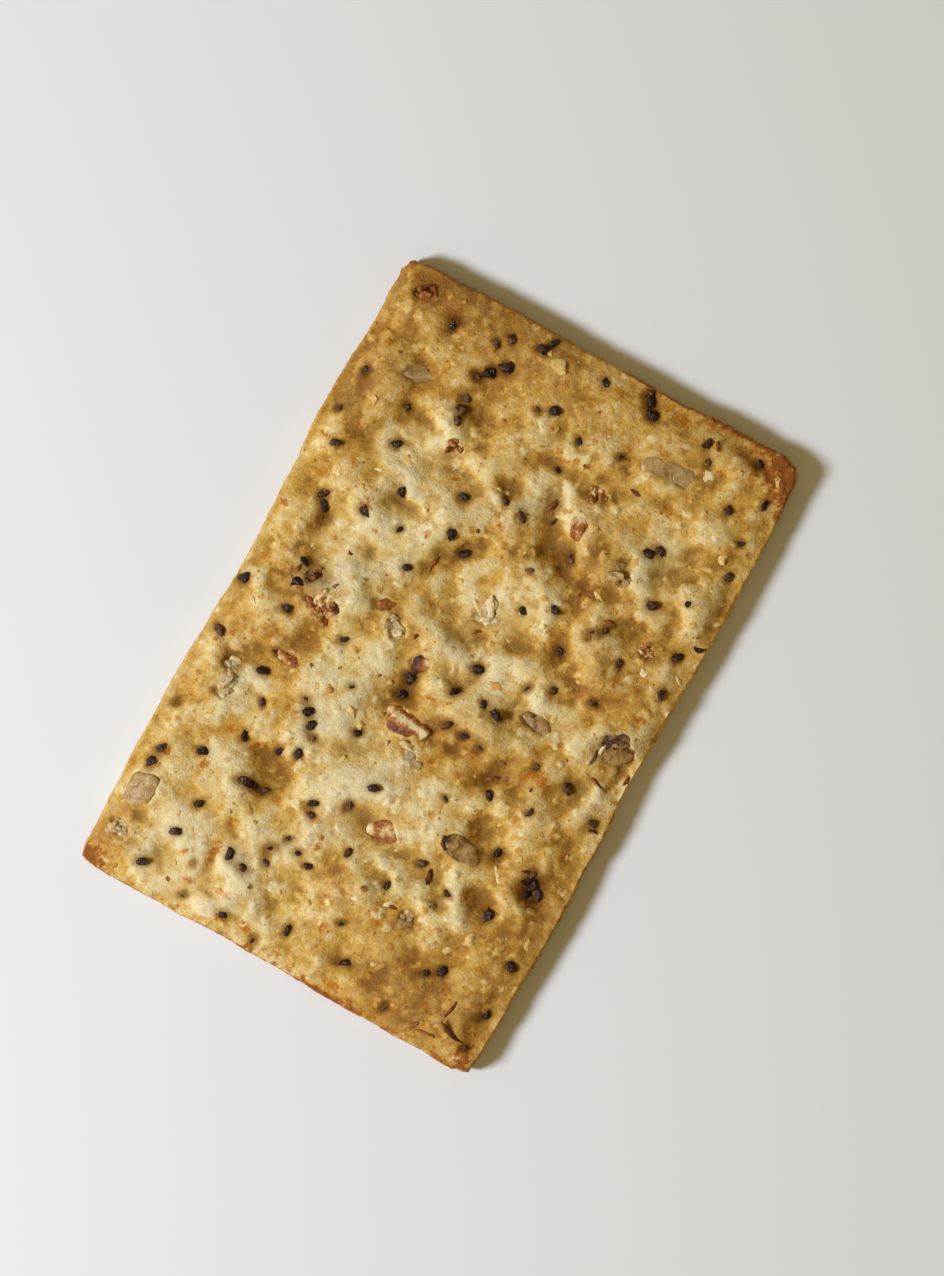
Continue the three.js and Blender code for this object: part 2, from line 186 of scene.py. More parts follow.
# %% Places of kernels and grains
Piece = namedtuple("Piece", "x y long wide turn")
KERNELS = [Piece(*row) for row in (
    (-19.3, -24.2, 3.5, 2.9, 65), (10.2, -14.6, 3.6, 2.3, -8), (10.6, 27, 5, 2.6, 8),
    (18.2, 0.8, 4.2, 2.9, 40), (10.6, -0.5, 3.4, 1.9, -12), (-17.6, -9.7, 2.2, 1.7, -30),
    (-16.9, -12, 2.6, 1.9, 35), (9.1, -23, 2.6, 1.7, -40), (1.4, 6.2, 2.6, 1.8, 50),
    (-5.3, 0.9, 2.5, 1.8, -35), (-15.2, 23.5, 4.1, 1.9, 36), (10.9, 15.6, 2.6, 1.5, 10),
    (-19.3, -28.7, 2.7, 1.9, -25), (1.6, -9.1, 2.4, 1.3, -30),
)]
GRAINS = [Piece(*row) for row in (
    (0, -6.4, 4, 2.8, -6), (-12.8, -0.4, 4.2, 1.6, 6), (-14.7, 1.5, 2, 1.5, 60), (3.3, -16.6, 3.9, 2.5, 15),
    (5.3, 17.9, 2.4, 1.9, 110), (5.2, 21.5, 2.6, 2.1, 20), (-12.7, -6.6, 3, 1.5, -8),
    (-7.4, 2.5, 2.7, 1.6, 15), (-9, 18.9, 2.1, 1, -5), (-1.7, -0.7, 2.8, 1.9, 70),
    (-18.9, 30.4, 2, 1.5, 60), (16.6, 10.6, 2.4, 1.2, -40),
)]
print("kernels: %d, grains: %d" % (len(KERNELS), len(GRAINS)))

# %% Places of the poppy seeds
Row = namedtuple("Row", "x y seeds heading step")
SEED_ROWS = [Row(*row) for row in (
    (5.3, -4.8, 3, -3, 1.9), (-1.9, -3.4, 2, 95, 1.7), (-9.3, 27, 3, 44, 1.5), (-9.7, 30.1, 2, 40, 1.5),
    (-10.1, 22.4, 3, 100, 1.15), (5.6, 31.6, 3, -55, 1.15), (-5.7, 31.7, 2, 60, 1.2),
    (-2.9, 26.2, 2, 30, 1.6), (12.6, 30.2, 2, -60, 1.6), (12.7, 19.4, 2, 45, 1.2),
    (-1.1, 16.4, 2, -15, 2.1), (-4.2, 11, 2, -30, 2.3), (11.7, 10, 2, 42, 1.4), (-17.2, 7.9, 3, -60, 1.2),
    (9.5, 2.6, 2, 25, 2.5), (6.2, -1.5, 2, -15, 1.6), (-14.5, -7.6, 2, 85, 2.4),
    (-8.5, -10.6, 4, -50, 1.25), (-8.7, -14.4, 2, 25, 1.9), (18.1, -14.3, 3, -60, 1.15),
    (-10.1, -18.8, 3, 2, 1.15), (-4.1, -18.1, 2, -70, 1.15), (-3.2, -22.4, 3, -25, 1.6),
    (-19.6, -20.7, 2, 80, 1.5), (-5.6, -24, 2, 100, 1.4), (-8, -26, 2, -20, 1.8), (13.8, -26.1, 2, 35, 1.6),
)]
SINGLE_SEEDS, PLACES_TRIED, SINGLE_MARGIN = 70, 14, 1.2
SEED_LONG, SEED_WIDE, SEED_HIGH, SEED_VARIES = 1.25, 0.9, 0.8, 0.22


def roomiest_place(taken, n):
    places = []
    for k in range(PLACES_TRIED):
        x = (2 * draw(n, k, 7) - 1) * (WIDTH / 2 - SINGLE_MARGIN)
        y = (2 * draw(n, k, 8) - 1) * (LENGTH / 2 - SINGLE_MARGIN)
        room = min(math.hypot(tx - x, ty - y) for tx, ty in taken)
        places.append((room, x, y))
    return max(places)[1:]


def seed_pieces():
    places = []
    for row in SEED_ROWS:
        t = math.radians(row.heading)
        for n in range(row.seeds):
            away = (n - (row.seeds - 1) / 2) * row.step
            places.append((row.x + away * math.cos(t), row.y + away * math.sin(t)))
    others = [(item.x, item.y) for item in KERNELS + GRAINS]
    for n in range(SINGLE_SEEDS):
        places.append(roomiest_place(places + others, n))
    pieces = []
    for n, (x, y) in enumerate(places):
        size = 1 + SEED_VARIES * (2 * draw(n, 1, 9) - 1)
        pieces.append(Piece(x, y, SEED_LONG * size, SEED_WIDE * size, 360 * draw(n, 2, 9)))
    return pieces


SEEDS = seed_pieces()
print("poppy seeds:", len(SEEDS))

# %% [markdown]
# ## The slab of dough
# A cracker's top is a sheet that rises in blisters, and its edge rounds over to a flat underside.
# A box with a subdivision surface would melt the corners, so the slab starts as a grid: its border is
# extruded downwards ring by ring, and the last ring, the border of the underside, is closed by one
# face. The grid is a plain template that counts rings by depth; the next step presses each into place.

# %% Grid, edge rings and underside
CELL = 0.19
EDGE_RINGS, UNDER_INSET = 12, 1.5


def start_modelling():
    if bpy.context.mode != "OBJECT":
        bpy.ops.object.mode_set(mode="OBJECT")
    bpy.ops.object.select_all(action="DESELECT")


columns = round((WIDTH - 2 * BORDER_INSET) / CELL)
rows = round((LENGTH - 2 * BORDER_INSET) / CELL)
start_modelling()
bpy.ops.mesh.primitive_grid_add(x_subdivisions=columns, y_subdivisions=rows, size=2)
dough = bpy.context.object
dough.name = "dough"
bpy.ops.object.mode_set(mode="EDIT")
bpy.ops.mesh.select_all(action="SELECT")
bpy.ops.mesh.region_to_loop()
for _ in range(EDGE_RINGS + 1):
    bpy.ops.mesh.extrude_edges_move(TRANSFORM_OT_translate={"value": (0, 0, -1)})
bpy.ops.mesh.edge_face_add()
bpy.ops.mesh.select_all(action="SELECT")
bpy.ops.mesh.normals_make_consistent(inside=False)
bpy.ops.object.mode_set(mode="OBJECT")
print("template:", len(dough.data.vertices), "vertices,", len(dough.data.polygons), "faces")

# %% [markdown]
# Pressing the template: a vertex of the grid goes to its place on the slab and up to the top's height,
# and a vertex of a ring follows a half-round edge from the border of the top, out to the bulge and back
# in to the foot. The last ring lies flat under the slab. The top also gets smaller lumps than the
# solid has, because the grid is fine enough to show them.

# %% Small lumps
SMALL_LUMPS = [Patch(*row) for row in (
    (13.5, 13.3, 1.8, 1.5, 0, 0.4), (16.3, 13.6, 1.8, 1.4, 90, 0.35), (12.5, 7, 2, 1.5, 100, 0.4),
    (7.2, 7.2, 3, 1.1, 115, 0.4), (11, 1.6, 2.4, 1.1, 10, 0.45), (16.4, 1.6, 1.4, 1.1, 90, 0.35),
    (12.8, 17, 1.8, 1.2, 120, 0.4), (12.3, 22.6, 1.6, 1.4, 0, 0.35), (-5.5, -14.5, 3.4, 2.4, 60, 0.4),
    (-12.5, -17.5, 2.4, 2, 0, 0.3), (-10.8, -9, 2.6, 1.6, 60, 0.3), (5.8, -19.6, 2.6, 1.4, -45, 0.4),
    (2.6, -12.6, 2.4, 1.5, 0, 0.35), (-13.6, 10, 1.6, 1.4, 0, 0.3), (-1.2, 1.5, 2.6, 1.5, 20, 0.35),
    (19, -5.3, 2.4, 1.3, 90, 0.35), (4.2, -22.4, 1.6, 1.2, 20, 0.35), (1, -27, 3.4, 2, 90, 0.3),
    (-16.5, 19, 2.6, 2, 0, 0.25), (6.5, 23.4, 2.4, 1.5, -30, 0.3), (11.3, 4.7, 2.2, 1.1, 10, -0.55),
    (5.6, 5.3, 1.4, 1.2, 60, -0.4), (1.2, 3.4, 2, 1.2, 20, -0.45), (18.2, -1.2, 2.6, 1.7, 50, -0.45),
    (12.4, -7.7, 1.8, 1.3, 90, -0.45), (18, -4.4, 2, 1.1, 90, -0.4), (-15.4, -0.9, 2, 1.2, 0, -0.4),
    (-7.6, -17, 2, 1.1, 100, -0.5), (-2.4, 18, 1.8, 1.5, 0, -0.4), (10.8, 17, 1.6, 0.9, 120, -0.45),
    (17.3, 15.4, 1.8, 1.1, 100, -0.45), (-17.9, -12.6, 1.6, 1.3, 90, -0.4),
    (-10.2, -26.7, 2, 0.9, 90, -0.3), (2.4, -6.3, 1.4, 1.1, 90, -0.4), (-10.8, 12, 1.4, 0.6, 0, -0.4),
)]
print("small lumps:", len(SMALL_LUMPS))


# %% Press the template into the slab
def get_points(mesh):
    points = np.empty(3 * len(mesh.vertices))
    mesh.vertices.foreach_get("co", points)
    return points.reshape(-1, 3)


def set_points(mesh, points):
    mesh.vertices.foreach_set("co", np.ascontiguousarray(points, dtype=np.float32).ravel())
    mesh.update()


template = get_points(dough.data)
ring = np.round(-template[:, 2])
on_top, underneath = ring == 0, ring > EDGE_RINGS
swing = np.pi * np.minimum(ring, EDGE_RINGS) / EDGE_RINGS
above_bulge = swing < np.pi / 2
inset = np.where(above_bulge, BORDER_INSET, FOOT_INSET) * (1 - np.sin(swing)) + UNDER_INSET * underneath
drop = np.where(above_bulge, 1 - BULGE_SHARE, BULGE_SHARE)
share = BULGE_SHARE + drop * np.cos(swing)
border_x, border_y = slab_point(template[:, 0], template[:, 1], BORDER_INSET)
x, y = slab_point(template[:, 0], template[:, 1], inset)
z = share * top_height(border_x, border_y)
z[on_top] += painted(SMALL_LUMPS, x[on_top], y[on_top])
set_points(dough.data, np.column_stack([x, y, z]))
print("slab, mm:", [round(float(side), 2) for side in np.ptp(get_points(dough.data), axis=0)])

# %% [markdown]
# ## Paler and browner places
# Dough bakes unevenly: thick swells stay pale, thin places turn golden. A painted image could hold that,
# but a list of soft patches round an even toast is easier to change. Below the palest tone the patches
# count for less, because dough never bakes white. The next step reads this map too: pale swells are
# smoother than the golden dough between them.

# %% Toast from pale at 0 to brown at 1
EVEN_TOAST, PALEST, TOAST_STRENGTH, PALE_SHARE = 0.42, 0.16, 1.1, 0.25
TOAST = [Patch(*row) for row in (
    (-12, 6, 7, 4, 60, -0.48), (-7, -6, 4.5, 4.5, 0, -0.6), (-12, 16.5, 7, 3.2, 0, -0.46),
    (-11, -26, 9, 6, 10, -0.34), (-7, -30, 10, 3, 0, -0.15), (1, -18, 7, 4, 0, -0.28),
    (5, 7, 5, 4, 0, -0.24), (-1, 6, 3, 4, 0, -0.2), (-14, -18, 3, 3, 0, -0.16), (19, -4, 3, 6, 0, -0.22),
    (12, -19, 3, 3, 0, -0.16), (-10, 31, 11, 6, 0, 0.3), (10, 33, 12, 4, 0, 0.16),
    (-19, 19.5, 3.2, 5, 0, 0.5), (-13, -6, 3, 2.6, 0, 0.42), (0, -5.5, 3, 2.4, 0, 0.34),
    (-1, -11.5, 9, 3.2, 0, -0.4), (7, 1, 8, 2.4, 0, -0.32), (13, 19, 3, 3, 0, -0.52),
    (1, 19.5, 2.4, 2.4, 0, -0.48), (9, 15, 2.4, 4.5, 0, 0.35), (-15, 13, 2.2, 2.4, 0, 0.25),
    (-3, 1, 2.4, 2, 0, 0.25), (1, 13, 2.4, 2.4, 0, 0.22), (-15.5, -11, 2.6, 2.2, 0, -0.5),
    (-10.8, -11, 2.2, 2.2, 0, 0.34), (9, -29, 3, 2.4, 0, 0.16), (-11, -23, 3, 2.4, 0, 0.14),
    (-15, 1, 3, 2.6, 0, 0.18), (-5, 19.5, 3.4, 2.2, 0, 0.18), (1, 1, 2, 2, 0, -0.2),
    (5, -29, 3, 2.4, 0, -0.14), (13, 1, 2, 2, 0, -0.3), (1, 31, 3, 3, 0, -0.22), (1, -23, 3, 3, 0, 0.32),
    (-18, 31.5, 4, 2.6, 0, 0.4), (8, -6.5, 6, 3.5, 0, 0.22), (12.5, 5.5, 6, 3, 0, 0.32),
    (-7.5, -17.5, 3, 2.4, 60, 0.22), (-19.5, -30, 3, 2.8, 0, 0.38), (13, -30, 7, 4.5, 15, 0.44),
    (19, -17, 9, 4, 90, 0.34),
)]


def toast_at(x, y):
    baked = EVEN_TOAST + TOAST_STRENGTH * painted(TOAST, x, y)
    return np.where(baked > PALEST, baked, PALEST + PALE_SHARE * (baked - PALEST))


print("toast at the middle: %.2f" % toast_at(0, 0))

# %% [markdown]
# ## Blisters, crumb and crags
# Baked dough is lumpy at every scale. It could be sculpted, but Displace modifiers add the lumps layer
# on layer and the same on every run: swells, pillows, pebbles and a fine crumb from soft noise, and
# rough crags where the edge was cut. Vertex groups keep each layer on the top or on the edge, calm it
# on pale swells and in some smoother zones, and leave the foot flat.

# %% Vertex groups for the top and the edge
SMOOTH_ZONES = [Patch(*row) for row in (
    (-17, -22, 6, 12, 0, 0.55), (-5, 30, 16, 5, 0, 0.75), (12, -29, 10, 5, 0, 0.75),
    (-19, 14, 3, 14, 0, 0.4), (19, 26, 5, 6, 0, 0.4),
)]
PALE_CALM, CALMEST = 0.36, 0.75
points = get_points(dough.data)
x, y = points[:, 0], points[:, 1]
from_edge = edge_distance(x, y)
pale = smooth(EVEN_TOAST - toast_at(x, y), 0.08, 0.3)
calm = np.clip(painted(SMOOTH_ZONES, x, y) + PALE_CALM * pale, 0, CALMEST)
lumpy = (1 - calm) * (0.75 + 0.5 * lattice_noise(x / 5, y / 5, 21))
inwards = np.where(on_top, smooth(from_edge, 0, 2.2), 0)
above_foot = ring < EDGE_RINGS


def weigh(obj, name, weights):
    group = obj.vertex_groups.new(name=name)
    levels = np.round(np.clip(weights, 0, 1), 2)
    for level in np.unique(levels[levels > 0]):
        group.add(np.flatnonzero(levels == level).tolist(), float(level), "REPLACE")


weigh(dough, "top", above_foot * (0.15 + 0.85 * inwards))
weigh(dough, "lumpy", above_foot * lumpy * (0.1 + 0.9 * inwards))
torn = 0.35 + 0.65 * np.maximum(smooth(x, 18, 21), smooth(y, 28, 32))
weigh(dough, "edge", torn * (np.sin(swing) * (swing > 0) + on_top * (1 - smooth(from_edge, 0, 1.2)) * 0.3))
print("vertex groups:", [group.name for group in dough.vertex_groups])


# %% Displace layers
def displace(obj, name, pitch, strength, group="", depth=0):
    texture = bpy.data.textures.new(name, "CLOUDS")
    texture.noise_scale = pitch
    texture.noise_depth = depth
    layer = obj.modifiers.new(name, "DISPLACE")
    layer.texture = texture
    layer.texture_coords = "LOCAL"
    layer.strength = strength
    layer.mid_level = 0.5
    layer.vertex_group = group
    bpy.context.view_layer.objects.active = obj
    bpy.ops.object.modifier_apply(modifier=name)


before = get_points(dough.data)
displace(dough, "swells", 5.0, 2.4, "lumpy")
displace(dough, "pillows", 2.0, 0.58, "lumpy")
displace(dough, "pebbles", 0.8, 0.1, "top")
displace(dough, "crumb", 0.36, 0.05, "top")
displace(dough, "crags", 0.6, 0.8, "edge", depth=3)
points = get_points(dough.data)
points[:, 2] = np.maximum(points[:, 2], 0)
set_points(dough.data, points)
moved = np.linalg.norm(points - before, axis=1)
print("displaced by up to %.2f mm, on average %.3f mm" % (moved.max(), moved.mean()))

# %% [markdown]
# ## Clods
# The top is crumbly: besides the swells, small clods of dough stand out of it with sharp edges, which
# soft noise can't give. Loose chips would look stuck on, so each clod is a raised patch of the dough
# itself, with a ragged outline and one higher end, in a cell of a jittered grid where a draw allows it.
# Each also bakes a little paler or browner.

# %% Raise the clods
CLOD_PITCH, CLOD_SHARE, CLOD_RISE, CLOD_JITTER = 1.5, 0.8, 0.28, 0.8


def reach_of(item, x, y):
    """Distance from an item's middle, with 1 at its outline."""
    a, b = own_axes(item, x, y)
    return np.hypot(a / (item.long / 2), b / (item.wide / 2))


def near(points, item, reach):
    return on_top & (np.hypot(points[:, 0] - item.x, points[:, 1] - item.y) < reach * item.long)


def clod_piece(i, j):
    x = (i + CLOD_JITTER * (draw(i, j, 81) - 0.5)) * CLOD_PITCH
    y = (j + CLOD_JITTER * (draw(i, j, 82) - 0.5)) * CLOD_PITCH
    size = 0.6 + 1.4 * draw(i, j, 83) ** 1.6
    return Piece(x, y, size, size * (0.5 + 0.4 * draw(i, j, 84)), 360 * draw(i, j, 85))


points = get_points(dough.data)
clod = np.zeros(len(points))
most_i, most_j = int(WIDTH / 2 / CLOD_PITCH), int(LENGTH / 2 / CLOD_PITCH)
for i in range(-most_i, most_i + 1):
    for j in range(-most_j, most_j + 1):
        if draw(i, j, 80) > CLOD_SHARE:
            continue
        item = clod_piece(i, j)
        close = near(points, item, 0.8)
        x, y = points[close, 0], points[close, 1]
        outline = reach_of(item, x, y) + 0.5 * lattice_noise(x / 0.4, y / 0.4, 64)
        plateau = 1 - smooth(outline, 0.66, 0.9)
        end = np.clip(0.5 + own_axes(item, x, y)[0] / item.long, 0, 1)
        points[close, 2] += CLOD_RISE * draw(i, j, 86) * (1 - calm[close]) * plateau * (0.25 + 0.75 * end)
        clod[close] = np.where(plateau > 0.3, draw(i, j, 87) - 0.5, clod[close])
set_points(dough.data, points)
print("clods cover %.0f%% of the top" % (100 * np.mean(clod[on_top] != 0)))

# %% [markdown]
# ## Dimples and beds for the baked-in pieces
# Each poppy seed lies in a small dimple. A kernel or grain lies deeper: the dough skin ends around it
# in an uneven lip, and folds over it on one side. A boolean cut would leave a knife edge, so each gets
# a bed with a wavy outline, pressed into the grid and left unsunk on the side of the fold. The piece
# that fills the bed is larger than its opening.

# %% Press dimples and beds
DIMPLE_DEPTH, BED_DEPTH, LIP_RISE = 0.1, 0.3, 0.03
points = get_points(dough.data)
for item in SEEDS:
    close = near(points, item, 2.5)
    reach = reach_of(item, points[close, 0], points[close, 1])
    points[close, 2] -= DIMPLE_DEPTH * np.exp(-((np.maximum(reach - 0.7, 0) / 0.8) ** 2))
unbedded = points[:, 2].copy()
for n, item in enumerate(KERNELS + GRAINS):
    close = near(points, item, 1.6)
    x, y = points[close, 0], points[close, 1]
    reach = reach_of(item, x, y) + 0.22 * lattice_noise(x / 0.9, y / 0.9, 60)
    reach = reach + 0.1 * lattice_noise(x / 0.35, y / 0.35, 61)
    side = 2 * math.pi * draw(n, 1, 62)
    fold = ((x - item.x) * math.cos(side) + (y - item.y) * math.sin(side)) / item.wide * 2
    opening = (1 - smooth(reach, 0.72, 1.05)) * (1 - smooth(fold, 0.35, 0.8))
    lip = np.exp(-(((reach - 1.15) / 0.2) ** 2))
    points[close, 2] += LIP_RISE * lip - BED_DEPTH * opening
set_points(dough.data, points)
print("top from %.2f to %.2f mm" % (points[on_top, 2].min(), points[on_top, 2].max()))

# %% [markdown]
# ## What the oven did, and where shade is painted
# Corners and edges burn first, and toasted spots are strewn over the top. The relief of the top is
# measured at three sizes, so that the finish can make high places paler and paint shade into hollows and
# creases. The dough round the seeds gets painted shade, partly where dark seeds show through it, and so
# do a few hollows. The cut sides are paler than the rims, with a little painted shade. All of this could
# be painted by hand; here it is worked out from the shape and from patches, and stored on the vertices
# as attributes, which the finish reads later.

# %% Burnt places, toasted spots, golden zones and painted shades
BURNT = [Patch(*row) for row in (
    (20.6, 31.6, 4.6, 3, 135, 1.2), (9, 34, 6, 1.6, 0, 0.7), (20.5, -32.5, 4, 2, 100, 0.8),
    (-20.5, 33, 3, 1.6, 20, 0.7), (-21.3, -33, 2.6, 1.8, 45, 1.2), (-2, -34, 16, 1.6, 0, 0.8),
    (22.5, -2, 14, 1, 90, 0.25), (8, -33.8, 5, 1.6, 0, 0.4),
)]
SPOTS = [Patch(*row) for row in (
    (-10.3, -26.3, 1.6, 0.6, 90, 1), (-11.2, -29.8, 0.8, 0.7, 0, 0.8), (-12.8, -27.5, 0.6, 0.5, 0, 0.8),
    (-10.3, -22.9, 0.8, 0.6, 90, 0.9), (-14.5, -15, 0.8, 0.6, 0, 1), (-11.5, -15.2, 1.2, 0.45, 35, 1),
    (-15.3, -19.2, 1, 0.6, 80, 0.9), (-8, -29.2, 1, 0.6, 0, 0.7), (-6.7, -31.5, 0.8, 0.6, 0, 1),
    (-4, -31.3, 0.8, 0.5, 20, 1), (-1.9, -21, 0.7, 0.5, 90, 0.9), (-13.6, 10, 1.2, 1, 0, 0.8),
    (-18.8, 10.8, 0.9, 0.8, 0, 0.8), (-19.8, 1, 0.9, 0.8, 0, 0.7), (-18.5, 2.6, 0.8, 0.4, 0, 0.9),
    (-20.5, 14, 1.2, 0.4, 0, 0.9), (-20.7, 6.4, 0.7, 0.4, 0, 1), (-7.8, -2.6, 0.8, 0.5, 0, 0.8),
    (0.8, -3.3, 0.9, 0.4, 10, 0.8), (2.6, -2.7, 0.7, 0.4, 40, 0.8), (3.7, -8.6, 0.6, 0.5, 0, 0.9),
    (7.4, -9, 0.6, 0.4, 0, 0.7), (3.2, 5.1, 0.5, 0.4, 0, 0.8), (8.4, 7, 1.2, 0.4, 80, 0.8),
    (15.4, 6.6, 1, 0.4, 90, 0.9), (19.2, 4.6, 1.2, 0.6, 0, 0.8), (16.5, 3, 0.6, 0.5, 0, 0.7),
    (14, -5, 1.4, 0.9, -40, 0.9), (12.4, -5.4, 1, 0.4, 60, 1), (15.2, -18.1, 0.6, 0.4, 0, 0.9),
    (13, -18.5, 1, 0.8, 0, 0.8), (6.7, -24.7, 1, 0.4, 0, 0.8), (2.3, -27.7, 0.8, 0.6, 90, 0.9),
    (5.8, -32, 1.4, 0.8, 0, 0.9), (12.3, 23.4, 1, 0.8, 0, 0.8), (2.5, 31.2, 1, 0.6, 0, 0.8),
    (9, 31.8, 1, 0.8, 0, 0.9), (14.6, 29, 0.6, 0.5, 0, 0.9), (1, 22.8, 0.6, 0.4, 0, 0.8),
    (-1.5, 25.1, 0.6, 0.4, 0, 0.8), (-7.3, 16.3, 0.9, 0.3, 20, 0.9), (-1.4, 14.3, 0.8, 0.5, 90, 0.9),
)]
GOLDEN = [Patch(*row) for row in (
    (15, 25, 6, 5, 0, 0.12), (-11, 15, 7, 5, 0, 0.08), (-7, -5, 3, 4, 0, 0.06), (-19, -12, 4, 8, 0, -0.12),
    (-18, -27, 5, 6, 0, -0.14), (0, -24, 6, 5, 0, -0.1), (1, -5, 4, 3, 0, -0.1), (-7, -17, 3, 3, 0, -0.1),
)]
# Patches of painted shade in hollows and round crowded seeds, grains and dark husks; a few mark seeds that
# show through the dough.
SHADES = [Patch(*row) for row in (
    (18.1, -14.4, 1.7, 1.4, -30, 1.1), (-15.4, 1.2, 2.2, 1.8, 20, 1.2), (-12.6, -0.8, 2.2, 0.9, 6, 0.5),
    (-9.3, 27, 1.8, 0.8, 44, 0.7), (5.6, 31.6, 1.3, 0.8, -55, 0.8), (-1.9, -3, 0.8, 1.5, 0, 0.7),
    (18, 0.9, 2, 1.4, 40, 0.7), (2.2, 18, 0.8, 1.8, -10, 0.8), (-10.1, -18.8, 1.5, 0.9, 0, 0.6),
    (5.3, -4.8, 2, 0.7, 0, 0.4), (-14.7, 29.7, 0.9, 0.7, 0, 0.7), (-12.5, 27.3, 0.7, 0.6, 0, 0.6),
    (-20.4, 17.8, 1.2, 1, 0, 0.9), (-20.6, 20.4, 1.4, 2.4, 0, 0.3), (-15.2, 26.2, 0.7, 0.6, 0, 0.4),
    (-16.1, 17.6, 1, 0.8, 60, 0.7), (-17.5, -10.8, 1.2, 2, 0, 0.4), (12.4, -7.7, 1.5, 1.1, 0, 0.5),
    (-7.6, -16.6, 1.6, 0.6, 75, 0.35),
)]
print("burnt: %d, spots: %d, zones: %d, shades: %d" % (len(BURNT), len(SPOTS), len(GOLDEN), len(SHADES)))


# %% Relief of the top at three sizes
def add_attribute(mesh, name, values):
    layer = mesh.attributes.new(name, "FLOAT", "POINT")
    layer.data.foreach_set("value", np.ascontiguousarray(values, dtype=np.float32))


def blurred(height, cells):
    """A grid of heights averaged over a square of neighbours, twice."""
    for axis in (0, 1, 0, 1):
        padded = np.concatenate([np.repeat(np.take(height, [0], axis), cells + 1, axis), height,
                                 np.repeat(np.take(height, [-1], axis), cells, axis)], axis)
        total = np.cumsum(padded, axis)
        count = height.shape[axis]
        upper = np.take(total, np.arange(2 * cells + 1, 2 * cells + 1 + count), axis)
        height = (upper - np.take(total, np.arange(count), axis)) / (2 * cells + 1)
    return height


RELIEF_BLURS = {"swell": (2, 16), "mound": (1, 7), "peak": (0, 3)}
rim_fall = (CROWN_HEIGHT - RIM_HEIGHT) * smooth(from_edge, BORDER_INSET / 2, RIM_FALL)
level_top = (unbedded - rim_fall)[on_top].reshape(rows + 1, columns + 1)
for name, (fine, coarse) in RELIEF_BLURS.items():
    relief = np.zeros(len(points))
    relief[on_top] = (blurred(level_top, fine) - blurred(level_top, coarse)).ravel()
    add_attribute(dough.data, name, relief)
    print("%s: %.3f mm (standard deviation)" % (name, relief[on_top].std()))

# %% Bake and shades
# SIDE_SHADE is painted shade on the cut sides.
UNDER_TOAST, UNDER_BURNT, SIDE_TOAST, SIDE_SHADE = 0.6, 0.3, 0.12, 0.25
x, y = get_points(dough.data)[:, :2].T
toast = np.where(underneath, UNDER_TOAST, toast_at(x, y) + SIDE_TOAST * ~on_top)
edge_toast = np.where(on_top, 0.4 * (1 - smooth(from_edge, 0, 0.5)), 0.25 + 0.3 * abs(np.cos(swing)))
burnt = painted(BURNT, x, y) * (1 - 0.65 * np.sin(swing))
# The left edge faces the light, so its rim gets less burnt colour: partly painted light on the lit side.
lit_side = 0.35 + 0.65 * smooth(x, -WIDTH / 2, 2.5 - WIDTH / 2)
burnt = burnt + lit_side * edge_toast * (0.7 + 0.6 * lattice_noise(x / 2.6, y / 2.6, 63))


def shade_round(item, reach, amount):
    """A patch of painted shade round an item, over a share of its size."""
    return Patch(item.x, item.y, reach * item.long, reach * item.wide, item.turn, amount)


# Painted shade round each seed, kernel and grain, partly their dark colour showing through the dough over
# them.
shades_round_pieces = [shade_round(item, 0.75, 1) for item in SEEDS] + [shade_round(item, 0.6, 0.5) for item in KERNELS + GRAINS]
tint_and_shade = painted(shades_round_pieces + SHADES, x, y)
bake = {
    "toast": toast,
    "burnt": np.where(underneath, UNDER_BURNT, burnt),
    "tint_and_shade": np.where(on_top, tint_and_shade, SIDE_SHADE),
    "spots": np.where(on_top, painted(SPOTS, x, y), 0),
    "golden": painted(GOLDEN, x, y),
    "clod": clod,
}
for name, values in bake.items():
    add_attribute(dough.data, name, values)
print("toast from %.2f to %.2f, burnt up to %.2f" % (toast.min(), toast.max(), burnt.max()))

# %% [markdown]
# ## Models and copies
# Small pieces come in a few modelled shapes, and each piece on the cracker is a copy of one, with its
# own size, turn and tilt. Particles would be quicker to set up, but they don't become meshes of their
# own, so the copies of a kind are joined to one mesh. Each is dropped onto the dough by a ray cast, so
# it lies on the surface as it really is after the displacing.


# %% Models from rough balls
def model_of(obj):
    """The points and faces of a modelled piece, which is then removed."""
    points = get_points(obj.data)
    faces = [tuple(face.vertices) for face in obj.data.polygons]
    bpy.data.objects.remove(obj)
    return points, faces


def rough_balls(count, subdivisions, lattice, rise, depth=0):
    """Balls of 1 mm across, each displaced at another place of the same noise."""
    models = []
    for n in range(count):
        start_modelling()
        bpy.ops.mesh.primitive_ico_sphere_add(subdivisions=subdivisions, radius=0.5, location=(3 * n, 0, 0))
        chunk = bpy.context.object
        bpy.ops.object.transform_apply(location=True)
        displace(chunk, "chunk", lattice, rise, depth=depth)
        points, faces = model_of(chunk)
        models.append((points - (3 * n, 0, 0), faces))
    print("modelled", count, "rough balls of", len(models[0][1]), "faces")
    return models


# %% Copies on the dough
def joined(name, copies):
    """One mesh from a list of (points, faces, tone) copies, each with its tone as an attribute."""
    points, faces, tones = [], [], []
    start = 0
    for copy_points, copy_faces, tone in copies:
        points.append(copy_points)
        faces.extend(tuple(v + start for v in face) for face in copy_faces)
        tones.append(np.full(len(copy_points), tone))
        start += len(copy_points)
    mesh = bpy.data.meshes.new(name)
    mesh.from_pydata(np.concatenate(points).tolist(), [], faces)
    add_attribute(mesh, "tone", np.concatenate(tones))
    obj = bpy.data.objects.new(name, mesh)
    bpy.context.scene.collection.objects.link(obj)
    return obj


